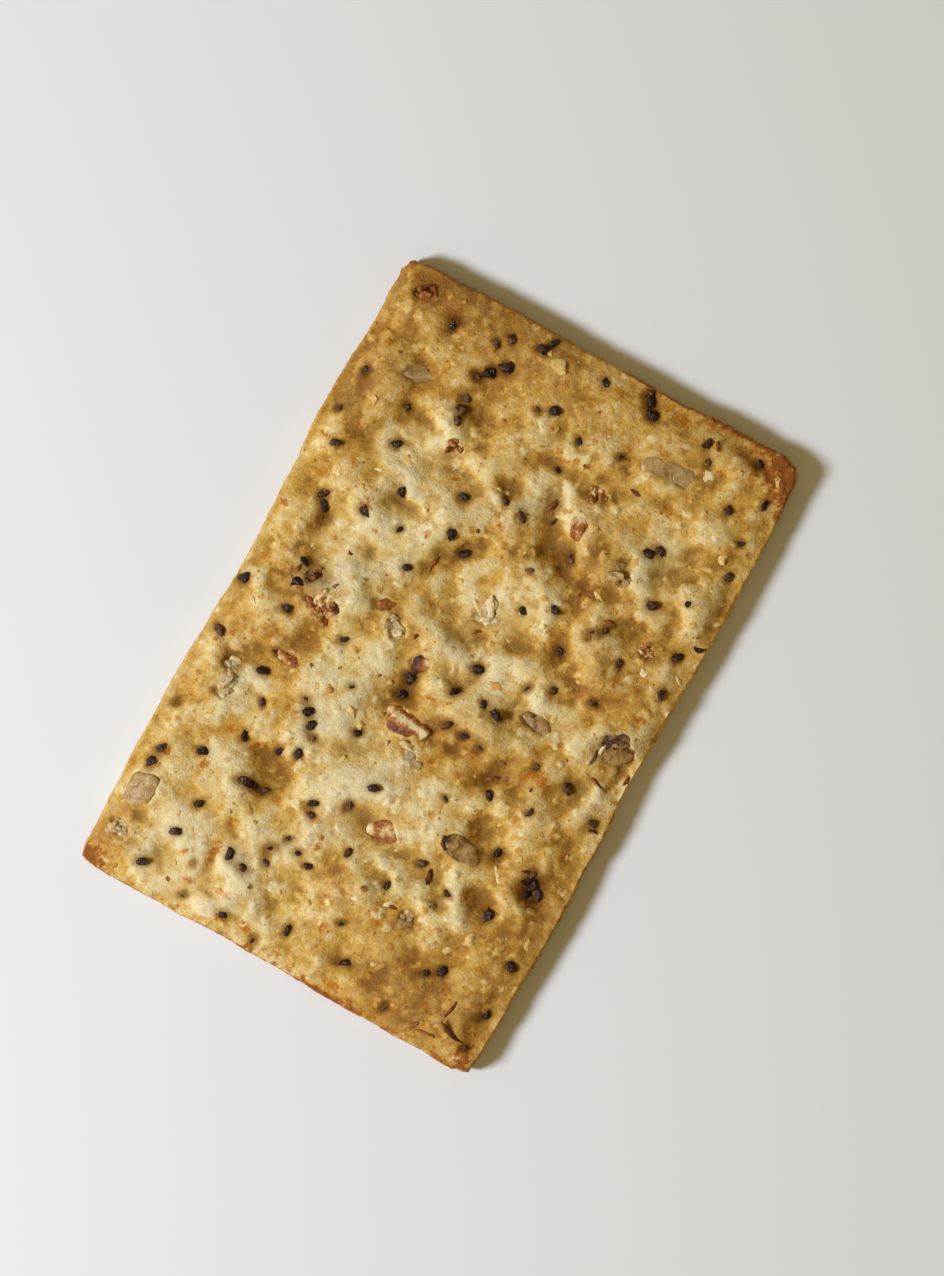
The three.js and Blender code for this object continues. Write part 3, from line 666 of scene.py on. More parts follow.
def dropped(points, item, sink, tilt=(0.0, 0.0)):
    """Points turned, leant with the slope of the dough, and set down with their middle sunk into it."""
    _, place, normal, _ = dough.ray_cast((item.x, item.y, 20), (0, 0, -1))
    lean = Vector((0, 0, 1)).rotation_difference(normal.lerp(Vector((0, 0, 1)), 0.4)).to_matrix()
    turn = Matrix.Rotation(math.radians(item.turn), 3, "Z")
    rock = Matrix.Rotation(tilt[0], 3, "X") @ Matrix.Rotation(tilt[1], 3, "Y")
    return points @ np.array(lean @ turn @ rock).T + np.array((item.x, item.y, place.z - sink))


def tilt_of(n, k, most):
    """Two drawn angles between -most and most radians."""
    return most * (2 * draw(n, k, 70) - 1), most * (2 * draw(n, k + 1, 70) - 1)


print("first tilts, degrees:", [round(math.degrees(angle), 1) for angle in tilt_of(0, 1, 0.35)])


# %% Hand-over of a finished piece
def hand_over(obj, smooth_angle=180):
    start_modelling()
    obj.select_set(True)
    bpy.context.view_layer.objects.active = obj
    obj.scale = (MM, MM, MM)
    bpy.ops.object.transform_apply(location=True, rotation=True, scale=True)
    bpy.ops.object.shade_smooth_by_angle(angle=math.radians(smooth_angle))
    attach(obj, "root")
    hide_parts("cracker")
    triangles = sum(len(face.vertices) - 2 for face in obj.data.polygons)
    print(obj.name, "has", triangles, "triangles")


# %% [markdown]
# ## Poppy seeds
# A poppy seed is a small kidney with a dented, netted coat. A ball displaced by noise gives the dents,
# and bending its ends to one side gives the kidney. Modelling every dent would be lost at this size.
# Most seeds are sunk to their middle, and some until only a dark tip shows.

# %% Poppy seeds
SEED_SCALE, SEED_BEND, SEED_SINK, SEED_TILT = 0.97, 0.25, 0.36, 0.35
models = rough_balls(10, 2, 0.27, 0.36)
copies = []
for n, item in enumerate(SEEDS):
    points, faces = models[n % len(models)]
    size = item.long / SEED_LONG
    wide = item.wide * (0.75 + 0.3 * draw(n, 3, 9))
    sized = SEED_SCALE * points * (item.long, wide, SEED_HIGH * size)
    sized[:, 1] += SEED_BEND * size * (2 * draw(n, 7, 9) - 1) * (sized[:, 0] / item.long * 2) ** 2
    sink = size * (SEED_SINK * draw(n, 4, 9) ** 1.6)
    copies.append((dropped(sized, item, sink, tilt_of(n, 1, SEED_TILT)), faces, draw(n, 6, 9)))
poppy_seeds = joined("poppy_seeds", copies)
hand_over(poppy_seeds, smooth_angle=42)

# %% [markdown]
# ## Sunflower kernel pieces
# The larger kernel pieces are flat slabs whose smooth face shows in the opening of their bed, with
# pale streaks and dark rims of their own. The smaller ones have crumbled: a few shards fill the bed.
# One shape for all would look stamped, so both kinds come from several rough balls. Every piece has a
# tone, from toasted dark at 0 to pale at 1, which the finish turns into colour.


# %% Tones and shards
def ridges(points, rise):
    """A tone that is paler on the ridges of a rough ball and darker in its cracks."""
    return rise * (np.linalg.norm(points, axis=1) - 0.5)


def shaded(tone, points, patches):
    """A tone with patches, which are placed in shares of the ball's half width."""
    return tone + painted(patches, 2 * points[:, 0], 2 * points[:, 1])


def shards_of(item, n, count, share):
    """The smaller pieces that a crumbled item has broken into, spread over its outline."""
    shards = []
    t = math.radians(item.turn)
    for k in range(count):
        far, angle = 0.4 * math.sqrt((k + 0.3) / count), 2.4 * k + 6.3 * draw(n, k, 75)
        a, b = far * item.long * math.cos(angle), far * item.wide * math.sin(angle)
        size = item.long * share * (0.6 + 0.7 * draw(n, k, 76))
        x = item.x + a * math.cos(t) - b * math.sin(t)
        y = item.y + a * math.sin(t) + b * math.cos(t)
        shards.append(Piece(x, y, size, size * (0.5 + 0.35 * draw(n, k, 77)), 360 * draw(n, k, 78)))
    return shards


def crumbled(models, item, n, count, tone, rise):
    """Copies of rough shards that fill an item's bed."""
    copies = []
    for k, shard in enumerate(shards_of(item, n, count, 0.4 + 1.1 / count)):
        points, faces = models[(n + k) % len(models)]
        high = 0.4 + 0.3 * draw(n, k, 79)
        sized = points * (shard.long, shard.wide, high)
        own = tone + 0.3 * rise * (draw(n, k, 74) - 0.5) + ridges(points, rise)
        copies.append((dropped(sized, shard, 0.12 * draw(n, k, 73), tilt_of(n + k, 5, 0.4)), faces, own))
    return copies


print("shards of a kernel:", [round(float(s.long), 2) for s in shards_of(KERNELS[5], 5, 4, 0.675)])

# %% Kernels
KERNEL_HIGH, KERNEL_SCALE, KERNEL_TILT, WHOLE_LONG, SHARDS = 1.1, 1.12, 0.1, 3.0, 4
DARK_TONE, DARK_SINK = 0.2, 0.5
KERNEL_TONES = [0.43, 0.25, 0.44, 0.17, 0.24, 0.76, 0.64, 0.5, 0.8, 0.66, 0.6, 0.44, 0.66, 0.58]
KERNEL_SHADES = {
    0: [Patch(0.2, 0.1, 0.9, 0.12, 30, 0.12), Patch(0, -0.3, 0.12, 0.8, 20, 0.1)],
    1: [Patch(-0.9, 0.2, 0.25, 0.9, 0, -0.3), Patch(0.3, -0.2, 0.4, 0.4, 0, 0.1)],
    2: [Patch(0.85, 0.1, 0.2, 0.7, 20, -0.2), Patch(-0.35, 0.1, 0.05, 0.9, 10, -0.25),
        Patch(-0.6, 0.2, 0.3, 0.5, 0, 0.15), Patch(0.3, 0, 0.3, 0.6, 40, 0.2),
        Patch(0.1, 0.7, 0.7, 0.2, 0, 0.2), Patch(0.5, -0.6, 0.5, 0.2, 0, 0.2)],
    3: [Patch(0, 0.5, 0.8, 0.4, 0, -0.15), Patch(0.3, -0.6, 0.5, 0.3, 0, 0.2)],
    4: [Patch(0.1, 0, 0.08, 0.9, 30, -0.2), Patch(0.5, 0.2, 0.3, 0.6, 0, 0.12)],
    10: [Patch(0, 0.3, 0.8, 0.2, 0, -0.2), Patch(0, -0.4, 0.8, 0.3, 0, 0.15)],
}
whole = rough_balls(6, 4, 0.45, 0.24)
broken = rough_balls(8, 3, 0.34, 0.5)
copies = []
for n, item in enumerate(KERNELS):
    if item.long < WHOLE_LONG:
        copies.extend(crumbled(broken, item, n, SHARDS, KERNEL_TONES[n], 0.6))
        continue
    points, faces = whole[n % len(whole)]
    slab = points.copy()
    slab[:, 2] = np.sign(slab[:, 2]) * 0.5 * np.abs(2 * slab[:, 2]) ** 0.38
    sized = slab * (KERNEL_SCALE * item.long, KERNEL_SCALE * item.wide, KERNEL_HIGH)
    # The darkest kernel lies sunk deep; its dark tone is partly painted shade of the hollow it lies in.
    sink = DARK_SINK if KERNEL_TONES[n] < DARK_TONE else KERNEL_HIGH / 2 - BED_DEPTH - 0.01
    tone = shaded(KERNEL_TONES[n] + ridges(points, 0.8), points, KERNEL_SHADES.get(n, []))
    copies.append((dropped(sized, item, sink, tilt_of(n, 3, KERNEL_TILT)), faces, tone))
kernels = joined("sunflower_kernels", copies)
hand_over(kernels, smooth_angle=32)

# %% [markdown]
# ## Cracked brown grains
# These are chunks of brown-skinned grain, broken so that the pale inside shows at breaks and on ridges,
# and some have crumbled into splinters. Skin and inside could be two meshes, but a tone on one rough
# ball, from dark skin at 0 to the pale inside at 1, lets them run into each other as they do here.

# %% Grains
GRAIN_HIGH, GRAIN_SCALE, GRAIN_TILT = 1.3, 1.1, 0.12
GRAIN_TONES = [0.3, 0.48, 0.13, 0.34, 0.52, 0.56, 0.52, 0.42, 0.5, 0.02, 0.16, 0.46]
CRUMBLED_GRAINS = {1: 9, 2: 6, 5: 6, 8: 6, 10: 6, 11: 6}
PALE_BREAKS = {
    0: [Patch(0, 0, 1.3, 0.26, 0, 0.8), Patch(-0.4, 0.85, 1, 0.35, 0, 0.7),
        Patch(0.9, -0.2, 0.3, 0.5, 0, 0.5)],
    3: [Patch(0, 0.2, 0.5, 0.4, 0, 0.6), Patch(-0.9, 0, 0.3, 0.6, 0, 0.5)],
    4: [Patch(0.8, 0, 0.3, 0.5, 0, 0.5)],
    9: [Patch(0.5, -0.5, 0.6, 0.6, 0, 0.9)],
}
skinned = rough_balls(6, 4, 0.5, 0.34, depth=1)
splintered = rough_balls(8, 3, 0.34, 0.6, depth=1)
copies = []
for n, item in enumerate(GRAINS):
    if n in CRUMBLED_GRAINS:
        copies.extend(crumbled(splintered, item, 20 + n, CRUMBLED_GRAINS[n], GRAIN_TONES[n], 1.4))
        continue
    points, faces = skinned[n % len(skinned)]
    sized = points * (GRAIN_SCALE * item.long, GRAIN_SCALE * item.wide, GRAIN_HIGH)
    tone = shaded(GRAIN_TONES[n] + ridges(points, 1.6), points, PALE_BREAKS.get(n, []))
    sink = GRAIN_HIGH / 2 - BED_DEPTH - 0.08
    copies.append((dropped(sized, item, sink, tilt_of(n, 7, GRAIN_TILT)), faces, tone))
grains = joined("cracked_grains", copies)
hand_over(grains)

# %% [markdown]
# ## Husk slivers
# Thin curved bits of seed husk lie flat in the dough, mostly by the larger grains, and broader, nearly
# black ones among the crowded seeds. A curve with a bevel could make a sliver, but a flattened rough
# ball, bent like the seeds, has the torn outline of a husk and serves both kinds.

# %% Slivers
SLIVERS = [Piece(*row) for row in (
    (-16.4, 1.4, 1.1, 0.5, 80), (-6.3, 1.2, 1, 0.35, 60), (-3.4, 1.3, 0.7, 0.4, 60),
    (8.9, -18.4, 2.4, 0.6, 100), (17.2, -0.6, 1.7, 0.28, 90), (18.6, -2.7, 2.1, 0.32, -18),
    (9.8, -7.1, 1.7, 0.4, 30), (18.8, -15.1, 1.8, 0.35, -35), (18, -30.5, 3, 0.5, -18),
    (15.8, -31.6, 2, 0.38, 10), (14.6, -31.3, 1.1, 0.5, 70), (16.9, -28.4, 1.9, 0.3, 80),
    (21.1, -1.1, 1.2, 0.4, 90), (21, 13.2, 1.3, 0.5, 10), (12.2, 11.4, 1.5, 0.5, 5),
    (20.5, -6.9, 1, 0.32, 15), (2.8, 17.2, 1.3, 0.4, 65), (2.1, 18.7, 1.5, 0.6, 75),
    (-17.7, 30.9, 1.7, 0.3, -45), (-18.4, 31.4, 1.5, 0.3, 30), (-5.4, 8, 1.9, 0.5, 88),
    (1.5, 4.5, 0.9, 0.3, 40), (8.5, -14.9, 1.4, 0.45, -55), (7.2, -22.6, 0.9, 0.4, 10),
    (8.4, 23.4, 1.3, 0.4, -5), (-15.2, 23.9, 2.4, 0.25, 33), (16.8, -13.4, 1, 0.3, 20),
    (13.1, 31.2, 1.1, 0.4, -60),
)]
DARK_HUSKS = [Piece(*row) for row in (
    (-8.1, 28.1, 1.7, 1.1, 50), (-9.5, 26.8, 1.4, 0.9, 10), (5.4, 32, 1.5, 0.8, -50),
    (6.1, 30.9, 1.2, 0.7, 20), (17.6, -13.9, 1.9, 0.9, 40), (18.8, -14.6, 1.7, 0.8, -30),
    (17.9, -15.3, 1.4, 0.6, 80), (-15.9, 0.4, 1.3, 0.8, 20), (-16.2, 2.3, 1.2, 0.7, -30),
    (-1.9, -2.4, 1.5, 1, 70), (-10.6, -18.9, 1.6, 0.8, 5), (19.8, 28.4, 1.2, 0.6, 90),
)]
SLIVER_BEND, SLIVER_SINK = 0.9, 0.02
models = rough_balls(6, 3, 0.3, 0.26)
copies = []
for n, item in enumerate(SLIVERS + DARK_HUSKS):
    points, faces = models[n % len(models)]
    sized = points * (item.long, item.wide, 0.34 + 0.2 * item.wide)
    sized[:, 1] += SLIVER_BEND * (draw(n, 1, 71) - 0.5) * item.wide * (2 * sized[:, 0] / item.long) ** 2
    tone = 0.35 + 0.65 * draw(n, 2, 71) if n < len(SLIVERS) else 0
    copies.append((dropped(sized, item, SLIVER_SINK), faces, tone))
slivers = joined("husk_slivers", copies)
hand_over(slivers)

# %% [markdown]
# ## Flakes and crumbs
# Pale flakes of dough and kernel lie on the top here and there, with small toasted crumbs and thin
# flakes between them. The larger flakes have their places; the rest take the roomiest of a few drawn
# places, as the seeds do. They are flat rough balls of few faces, because there are many of them.

# %% Flakes and crumbs
FLAKES = [(Piece(*place), tone) for *place, tone in (
    (-4.3, 30.7, 2.8, 1.4, -25, 0.24), (0.3, 6.7, 1.8, 0.6, -35, 0.15), (13.9, 28.4, 1.3, 1.1, 30, 0),
    (14.6, -15, 1.7, 0.6, -50, 0.15), (17.3, 8.7, 1.1, 0.8, 0, 0.1), (10, 13, 1.6, 0.5, -20, 0.3),
    (-18.5, -3.5, 1.3, 0.4, -40, 0.05), (-4.1, -8.9, 0.9, 0.9, 0, 0.25), (-3.6, -3.9, 0.8, 0.6, 30, 0.3),
    (6.8, -22.5, 1.2, 0.7, 20, 0.05), (3.8, -23.5, 0.9, 0.6, 0, 0.1), (17.45, 0.1, 1.6, 0.4, 85, 0),
    (-2.3, 24.3, 1.1, 0.4, -40, 0), (4.6, 8.2, 1, 0.5, 15, 0.1), (9.4, 1.8, 0.7, 0.4, -30, 0.05),
    (-14.4, 13.5, 1.1, 0.4, 5, 0), (-14.6, -19.6, 0.7, 0.5, 20, 0.05), (20.6, 9.8, 1, 0.4, -30, 0.2),
    (20.7, -2.7, 1, 0.4, 20, 0.5), (1.9, 6.3, 1, 0.7, 60, 0),
)]
CRUMBS, THIN_FLAKES = 150, 45
taken = [(item.x, item.y) for item in SEEDS + KERNELS + GRAINS]


def strewn(count, first, k, sizes, widths, tones):
    """Bits in the roomiest places, with size, width and tone from ranges given as least and spread."""
    bits = []
    for n in range(count):
        x, y = roomiest_place(taken, first + n)
        taken.append((x, y))
        size = sizes[0] + sizes[1] * draw(n, k, 72) ** 2
        wide = size * (widths[0] + widths[1] * draw(n, k + 1, 72))
        tone = tones[0] + tones[1] * draw(n, k + 3, 72)
        bits.append((Piece(x, y, size, wide, 360 * draw(n, k + 2, 72)), tone))
    return bits


crumbs = strewn(CRUMBS, 500, 1, (0.3, 0.5), (0.5, 0.4), (0.35, 0.65))
thin_flakes = strewn(THIN_FLAKES, 900, 5, (0.6, 0.9), (0.4, 0.4), (0.2, 0.35))
models = rough_balls(8, 2, 0.3, 0.55)
copies = []
for n, (item, tone) in enumerate(FLAKES + crumbs + thin_flakes):
    points, faces = models[n % len(models)]
    high = 0.14 + 0.2 * item.wide
    sized = points * (item.long, item.wide, high)
    copies.append((dropped(sized, item, 0.25 * high, tilt_of(n, 9, 0.25)), faces, tone))
flakes = joined("flakes_and_crumbs", copies)
hand_over(flakes, smooth_angle=40)

# %% [markdown]
# The dough itself is handed over last, because the ray casts needed it in millimetres.

# %% Hand over the dough
hand_over(dough, smooth_angle=60)

# %% [markdown]
# ## Finishes
# Each finish is a node material. Patterns read Object coordinates, stretched to millimetres, so a
# scale of 2 means two features to the millimetre. Nodes could be placed and wired one by one; a small
# class with a method for each kind keeps the recipes short.


# %% Node helpers
def srgb(red, green, blue):
    """A colour as it is read off a screen, 0 to 255, as the linear colour that a shader takes."""
    channels = np.array([red, green, blue]) / 255
    linear = np.where(channels <= 0.04045, channels / 12.92, ((channels + 0.055) / 1.055) ** 2.4)
    return (*linear.tolist(), 1.0)


class Finish:
    """A material and short ways to add and join its nodes."""

    def __init__(self, name):
        self.material = bpy.data.materials.new(name)
        self.material.use_nodes = True
        self.tree = self.material.node_tree
        self.shader = self.tree.nodes["Principled BSDF"]
        place = self.node("ShaderNodeTexCoord").outputs["Object"]
        scale = (1 / MM, 1 / MM, 1 / MM)
        self.millimetres = self.node("ShaderNodeMapping", Vector=place, Scale=scale).outputs["Vector"]

    def put(self, socket, value):
        if isinstance(value, bpy.types.NodeSocket):
            self.tree.links.new(value, socket)
        else:
            socket.default_value = value

    def node(self, kind, settings=None, **inputs):
        made = self.tree.nodes.new(kind)
        for key, value in (settings or {}).items():
            setattr(made, key, value)
        for key, value in inputs.items():
            self.put(made.inputs[key.replace("_", " ")], value)
        return made

    def noise(self, scale, detail=2.0, roughness=0.5, distortion=0.0):
        made = self.node("ShaderNodeTexNoise", Vector=self.millimetres, Scale=scale, Detail=detail,
                         Roughness=roughness, Distortion=distortion)
        return made.outputs["Fac"]

    def cells(self, scale):
        made = self.node("ShaderNodeTexVoronoi", Vector=self.millimetres, Scale=scale)
        return made.outputs["Distance"], made.outputs["Color"]

    def attribute(self, name):
        return self.node("ShaderNodeAttribute", {"attribute_name": name}).outputs["Fac"]

    def math(self, operation, a, b):
        made = self.node("ShaderNodeMath", {"operation": operation})
        self.put(made.inputs[0], a)
        self.put(made.inputs[1], b)
        return made.outputs["Value"]

    def add(self, total, *others):
        for other in others:
            total = self.math("ADD", total, other)
        return total

    def times(self, a, b):
        return self.math("MULTIPLY", a, b)

    def step(self, value, low, high, to_low=0.0, to_high=1.0):
        made = self.node("ShaderNodeMapRange", {"interpolation_type": "SMOOTHSTEP"}, Value=value,
                         From_Min=low, From_Max=high, To_Min=to_low, To_Max=to_high)
        return made.outputs["Result"]

    def around(self, noise, spread, low=0.3, high=0.7):
        """Noise stretched to run from -spread to spread."""
        return self.step(noise, low, high, -spread, spread)

    def mix(self, factor, a, b, blend="MIX"):
        made = self.node("ShaderNodeMix", {"data_type": "RGBA", "blend_type": blend})
        self.put(made.inputs[0], factor)
        self.put(made.inputs[6], a)
        self.put(made.inputs[7], b)
        return made.outputs[2]

    def tint(self, factor, colour, red, green, blue):
        """A colour dimmed by shares of red, green and blue."""
        return self.mix(factor, colour, (red, green, blue, 1.0), "MULTIPLY")

    def ramp(self, value, *stops):
        """A colour ramp with stops of a place and the red, green and blue of a screen."""
        made = self.node("ShaderNodeValToRGB", Fac=value)
        elements = made.color_ramp.elements
        while len(elements) < len(stops):
            elements.new(1.0)
        for element, (place, *screen_colour) in zip(elements, stops):
            element.position = place
            element.color = srgb(*screen_colour)
        return made.outputs["Color"]

    def bump(self, height, millimetres):
        made = self.node("ShaderNodeBump", Height=height, Distance=millimetres * MM, Strength=1.0)
        return made.outputs["Normal"]

    def tell(self, layer):
        print("%s: %s, %d nodes so far" % (self.material.name, layer, len(self.tree.nodes)))

    def dress(self, piece, **inputs):
        for key, value in inputs.items():
            self.put(self.shader.inputs[key.replace("_", " ")], value)
        piece.data.materials.append(self.material)
        print("%s is dressed in %s" % (piece.name, self.material.name))


print("mid grey is %.3f in a shader" % srgb(128, 128, 128)[0])

# %% [markdown]
# ### Baked dough
# Dough is cream where it is thick and golden where it browned. One noise would be too even, so the
# browning adds up what the attributes say about bake and relief, and noise from centimetre clouds down
# to granules; a ramp then turns it into colour. The relief makes mounds and peaks paler and hollows and
# creases browner, partly a paler bake on the high places and partly painted shade in the low ones. Pale
# places are plainer, so much of the fine pattern is held back there.

# %% Browning
crust = Finish("baked_dough")
clouds, mottle, granules = crust.noise(0.22, 3, 0.55), crust.noise(1.4, 5, 0.62), crust.noise(4.2, 3, 0.6)
toast, swell, mound, peak = [crust.attribute(name) for name in ("toast", "swell", "mound", "peak")]
busy = crust.step(toast, 0.08, 0.36, 0.4, 1.0)
browning = crust.add(
    toast,
    crust.around(clouds, 0.06),
    crust.times(crust.around(mottle, 0.12), busy),
    # Relief terms: mounds and peaks paler, hollows and creases browner, partly a paler bake and partly
    # painted shade.
    crust.step(swell, -0.4, 0.35, 0.03, -0.04),
    crust.step(peak, -0.08, 0.08, 0.18, -0.14),
    crust.around(mound, -0.05, -0.2, 0.2),
    crust.around(granules, -0.07),
    crust.times(crust.attribute("clod"), 0.35),
)
colour = crust.ramp(
    browning,
    (0.02, 229, 216, 183), (0.26, 220, 195, 148), (0.5, 205, 169, 105),
    (0.76, 180, 140, 81), (1.0, 152, 110, 64))
crust.tell("browning")

# %% [markdown]
# Golden patches come and go within a few millimetres, more in the hollows, where the extra gold is
# painted warm shade, and smaller yellow tinges lie over them. Burnt corners and edges turn orange brown.
# A tint multiplies, so the pattern below it still shows; the burnt colour covers.

# %% Golden patches and burnt edges
# The mound term turns the hollows more golden: painted warm shade.
warmth = crust.add(crust.noise(0.6, 7, 0.7), crust.times(mound, -1.2), crust.attribute("golden"))
colour = crust.tint(crust.step(warmth, 0.38, 0.62), colour, 1.0, 0.96, 0.76)
tinge = crust.times(crust.step(crust.noise(2.4, 5, 0.7), 0.42, 0.6), busy)
colour = crust.tint(tinge, colour, 1.0, 0.94, 0.54)
scorch = crust.add(crust.attribute("burnt"), crust.around(mottle, 0.42))
scorch_colour = crust.ramp(scorch, (0.3, 198, 142, 64), (0.7, 174, 112, 50), (1.0, 146, 88, 42))
colour = crust.mix(crust.step(scorch, 0.25, 0.85), colour, scorch_colour)
crust.tell("golden and burnt")

# %% [markdown]
# Toasted spots, flakes of skin and specks of bran are baked into the dough, too flat to model. Spots
# come from an attribute, with flecks of noise. Flakes and bran are Voronoi cells with ragged edges, of
# which a draw for each cell picks some.

# %% Toasted spots, flakes and bran
fleck = crust.noise(2.6, 4, 0.65, 0.6)
spot = crust.step(crust.add(crust.attribute("spots"), crust.around(fleck, 0.3)), 0.3, 0.85)
toasted = crust.math("MAXIMUM", spot, crust.times(crust.step(fleck, 0.62, 0.74, 0.0, 0.6), busy))
toasted_colour = crust.ramp(toasted, (0.2, 216, 160, 60), (0.6, 206, 140, 44), (1.0, 176, 106, 32))
colour = crust.mix(crust.times(toasted, 0.85), colour, toasted_colour)
flake, flake_draw = crust.cells(0.85)
plate = crust.add(flake, crust.around(fleck, 0.16))
flaked = crust.times(crust.step(plate, 0.16, 0.36, 1.0, 0.0), crust.step(flake_draw, 0.52, 0.54))
flaked = crust.times(flaked, busy)
flake_colour = crust.ramp(flake_draw, (0.54, 228, 182, 90), (0.7, 216, 158, 60), (0.86, 190, 120, 44))
colour = crust.mix(crust.times(flaked, 0.8), colour, flake_colour)
speck, bran_draw = crust.cells(1.7)
bran = crust.step(crust.add(speck, crust.around(fleck, 0.12)), 0.1, 0.3, 1.0, 0.0)
bran = crust.times(crust.times(bran, crust.step(bran_draw, 0.68, 0.7)), busy)
bran_colour = crust.ramp(bran_draw, (0.7, 216, 158, 62), (0.74, 196, 126, 42), (0.86, 150, 86, 32))
colour = crust.mix(crust.times(bran, 0.8), colour, bran_colour)
crust.tell("spots, flakes and bran")

# %% [markdown]
# Creases and hollows get painted shade, darker than light alone makes them, and so does the dough round
# the seeds, partly where the seeds show through it. Fine grit breaks up what is left smooth, and a few
# pale specks on top are painted glints. Light sinks a little way into dough, so the surface gets some
# subsurface scattering and hardly any shine.

# %% Painted shade in creases and round seeds, painted glints, grit and surface
# Painted shade: creases darken towards brown, and the low swells are dimmed.
colour = crust.mix(crust.step(peak, -0.14, -0.02, 0.5, 0.0), colour, srgb(112, 76, 34))
colour = crust.tint(crust.step(swell, -0.6, -0.1, 0.4, 0.0), colour, 0.6, 0.5, 0.36)
# The tint_and_shade attribute dims the dough: painted shade round the pieces and in the listed hollows,
# partly seeds showing through; past 1, among crowded seeds and dark husks, it goes nearly black.
shade = crust.attribute("tint_and_shade")
colour = crust.tint(crust.step(shade, 0.08, 1, 0.0, 0.9), colour, 0.48, 0.38, 0.25)
colour = crust.mix(crust.step(shade, 1.0, 1.9, 0.0, 0.85), colour, srgb(58, 35, 20))
# Grit also feeds the bump; its low places turn browner, partly fine speckle and partly painted shade.
grit = crust.add(granules, crust.times(crust.noise(11, 2), 0.3))
colour = crust.mix(crust.step(grit, 0.45, 0.7, 0.14, 0.0), colour, srgb(150, 100, 36))
# Pale specks are painted glints, highlights held in the colour.
glint, glint_draw = crust.cells(2.3)
painted_glints = crust.times(crust.step(glint, 0.08, 0.22, 1.0, 0.0), crust.step(glint_draw, 0.93, 0.95))
colour = crust.mix(crust.times(painted_glints, 0.7), colour, srgb(250, 240, 212))
raised = crust.times(crust.math("MAXIMUM", toasted, flaked), 0.5)
crust.dress(
    dough,
    Base_Color=colour,
    Roughness=crust.add(crust.step(granules, 0.3, 0.7, 0.5, 0.36), crust.times(toasted, 0.2)),
    Normal=crust.bump(crust.add(grit, crust.add(raised, crust.times(plate, -0.8))), 0.08),
    Specular_IOR_Level=0.04,
    Subsurface_Weight=0.4,
    Subsurface_Radius=(1.0, 0.9, 0.75),
    Subsurface_Scale=0.25 * MM,
)

# %% [markdown]
# ### Seeds and kernels
# Poppy seeds are brown-black with a netted coat; the net is too fine to model, so Voronoi cells bump
# it. Kernels are grey-beige and waxy: light sinks deep into them, and they shine more than the dough.

# %% Seed and kernel finishes
coat = Finish("poppy_seed_coat")
coat_tone = coat.add(coat.attribute("tone"), coat.around(coat.noise(2.6, 2), 0.3))
coat.dress(
    poppy_seeds,
    Base_Color=coat.ramp(coat_tone, (0.1, 36, 16, 11), (0.7, 60, 30, 19), (1.0, 112, 76, 48)),
    Roughness=0.34,
    Specular_IOR_Level=0.4,
    Normal=coat.bump(coat.cells(7.0)[0], 0.09),
)
meat = Finish("toasted_kernel")
vein = meat.noise(1.1, 4, 0.6, 1.2)
meat_tone = meat.add(meat.attribute("tone"), meat.around(vein, 0.16))
meat.dress(
    kernels,
    Base_Color=meat.ramp(
        meat_tone, (0.0, 72, 42, 20), (0.3, 156, 120, 67), (0.6, 191, 160, 112), (1.0, 240, 212, 170)),
    Roughness=0.32,
    Specular_IOR_Level=0.3,
    Normal=meat.bump(vein, 0.16),
    Subsurface_Weight=0.5,
    Subsurface_Radius=(1.0, 0.8, 0.5),
    Subsurface_Scale=1.0 * MM,
)

# %% [markdown]
# ### Grains, husks and flakes
# Grains are red-brown skin over a pale inside, husks dark and dry, and flakes run from cream to toasted
# brown. The pieces already hold their tones, so one ramp for each kind, stirred by a little noise,
# colours them all.

# %% Grain, husk and flake finishes
skin = Finish("cracked_grain")
skin_tone = skin.add(skin.attribute("tone"), skin.around(skin.noise(1.8, 4, 0.6, 0.8), 0.26, 0.25, 0.75))
skin.dress(
    grains,
    Base_Color=skin.ramp(
        skin_tone, (0.0, 60, 30, 18), (0.3, 130, 74, 34), (0.55, 172, 110, 52), (0.7, 198, 158, 104),
        (0.95, 228, 210, 172)),
    Roughness=0.5,
    Specular_IOR_Level=0.2,
    Normal=skin.bump(skin.noise(5, 2), 0.08),
    Subsurface_Weight=0.15,
    Subsurface_Radius=(1.0, 0.7, 0.4),
    Subsurface_Scale=0.4 * MM,
)
husk = Finish("husk_sliver")
husk_tone = husk.add(husk.attribute("tone"), husk.around(husk.noise(2.4, 3), 0.3))
husk.dress(
    slivers,
    Base_Color=husk.ramp(husk_tone, (0.1, 34, 18, 12), (0.45, 86, 45, 23), (1.0, 152, 88, 42)),
    Roughness=0.45,
    Specular_IOR_Level=0.2,
    Normal=husk.bump(husk.noise(6, 2), 0.05),
)
crisp = Finish("toasted_flakes")
crisp_tone = crisp.add(crisp.attribute("tone"), crisp.around(crisp.noise(2.2, 3), 0.12))
crisp.dress(
    flakes,
    Base_Color=crisp.ramp(
        crisp_tone, (0.0, 240, 220, 174), (0.25, 226, 190, 114), (0.55, 204, 148, 64), (0.8, 178, 112, 44),
        (1.0, 112, 60, 26)),
    Roughness=0.5,
    Normal=crisp.bump(crisp.noise(5, 3), 0.08),
    Subsurface_Weight=0.3,
    Subsurface_Radius=(1.0, 0.6, 0.25),
    Subsurface_Scale=0.5 * MM,
)

# %% [markdown]
# ## Floor, light and camera
# The cracker lies on a plain pale floor. The camera looks straight down, with the cracker turned in the
# frame. One soft light comes from the left of the picture, low enough to throw the blisters into
# relief; more lamps would flatten them, so a dim warm world fills the shadows instead.

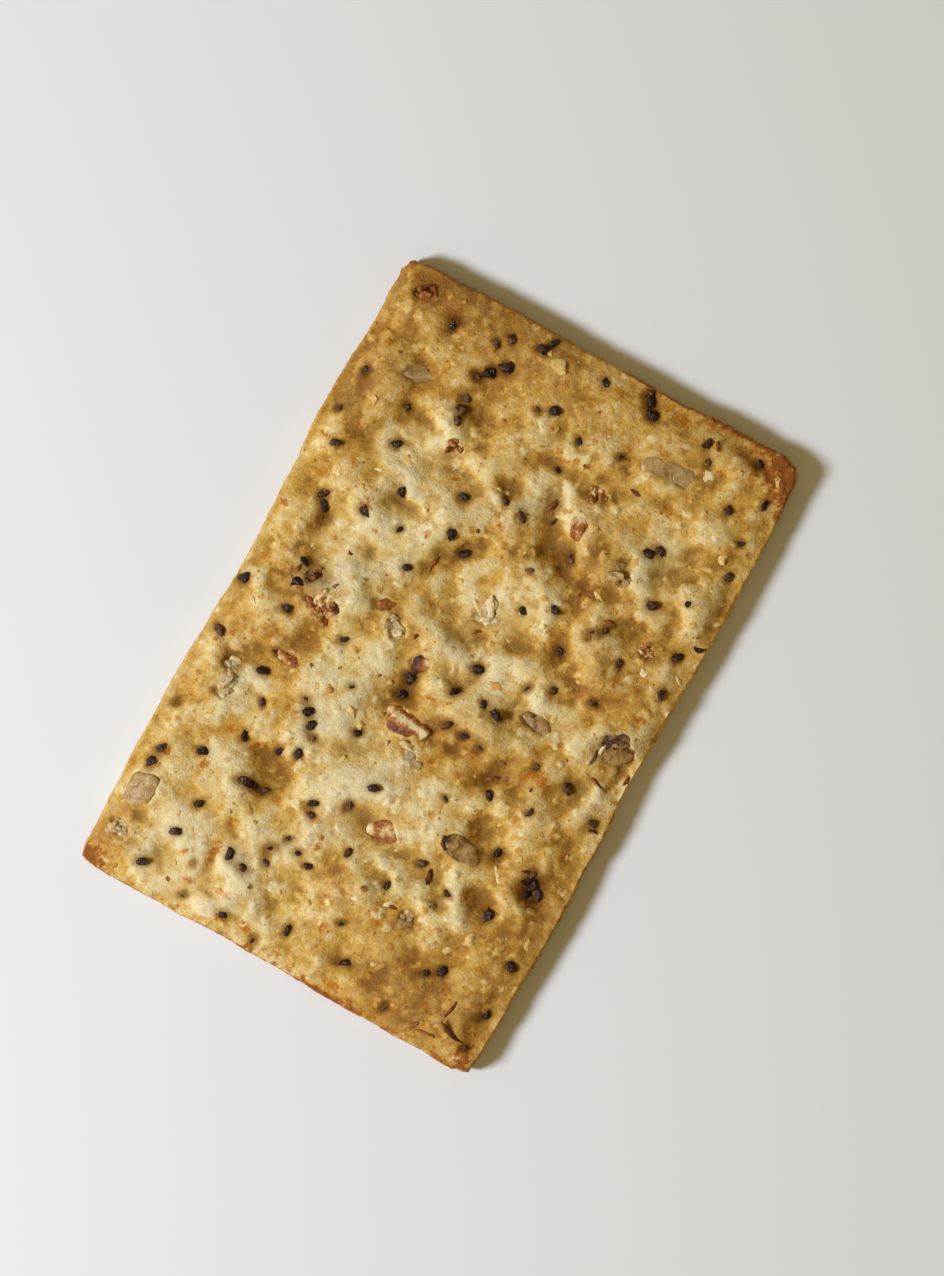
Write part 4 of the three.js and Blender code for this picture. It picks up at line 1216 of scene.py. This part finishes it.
# %% Floor
FLOOR_SIZE = 3
start_modelling()
bpy.ops.mesh.primitive_plane_add(size=FLOOR_SIZE, location=(0, 0, -0.02 * MM))
floor = bpy.context.object
floor.name = "floor"
Finish("pale_floor").dress(floor, Base_Color=srgb(228, 232, 242), Roughness=0.9)

# %% Camera
PICTURE_TURN = math.radians(29)
PIXELS_HIGH, PIXELS_PER_MM = 1276, 10.4018
LENS, SENSOR = 100, 36
PICTURE_MIDDLE = 1.38, 3.71
camera = bpy.data.objects.new("camera", bpy.data.cameras.new("camera"))
bpy.context.scene.collection.objects.link(camera)
bpy.context.scene.camera = camera
camera.data.lens, camera.data.sensor_width = LENS, SENSOR
away = PIXELS_HIGH / PIXELS_PER_MM * LENS / SENSOR
camera.location = Vector((*PICTURE_MIDDLE, RIM_HEIGHT + away)) * MM
camera.rotation_euler = (0, 0, PICTURE_TURN)
camera.data.clip_start, camera.data.clip_end = 0.01, 10
print("camera is %.0f mm above the cracker" % away)

# %% Light and world
FROM_LEFT, FROM_BELOW, RISE, DISTANCE = 1.0, 0.2, 40, 0.5
left = Vector((-math.cos(PICTURE_TURN), -math.sin(PICTURE_TURN), 0))
below = Vector((math.sin(PICTURE_TURN), -math.cos(PICTURE_TURN), 0))
towards = (FROM_LEFT * left + FROM_BELOW * below).normalized()
towards = (towards + math.tan(math.radians(RISE)) * Vector((0, 0, 1))).normalized()
key = bpy.data.objects.new("key", bpy.data.lights.new("key", "AREA"))
key.data.size, key.data.energy, key.data.color = 0.11, 2.68, (0.92, 0.96, 1.0)
key.location = towards * DISTANCE
key.rotation_euler = (-towards).to_track_quat("-Z", "Y").to_euler()
bpy.context.scene.collection.objects.link(key)
world = bpy.data.worlds.new("studio")
bpy.context.scene.world = world
world.use_nodes = True
sky = world.node_tree.nodes["Background"].inputs
sky["Color"].default_value, sky["Strength"].default_value = (1, 0.75, 0.3, 1), 0.3
bpy.context.scene.view_settings.view_transform = "Standard"
print("key light, mm:", [round(1000 * place) for place in key.location])
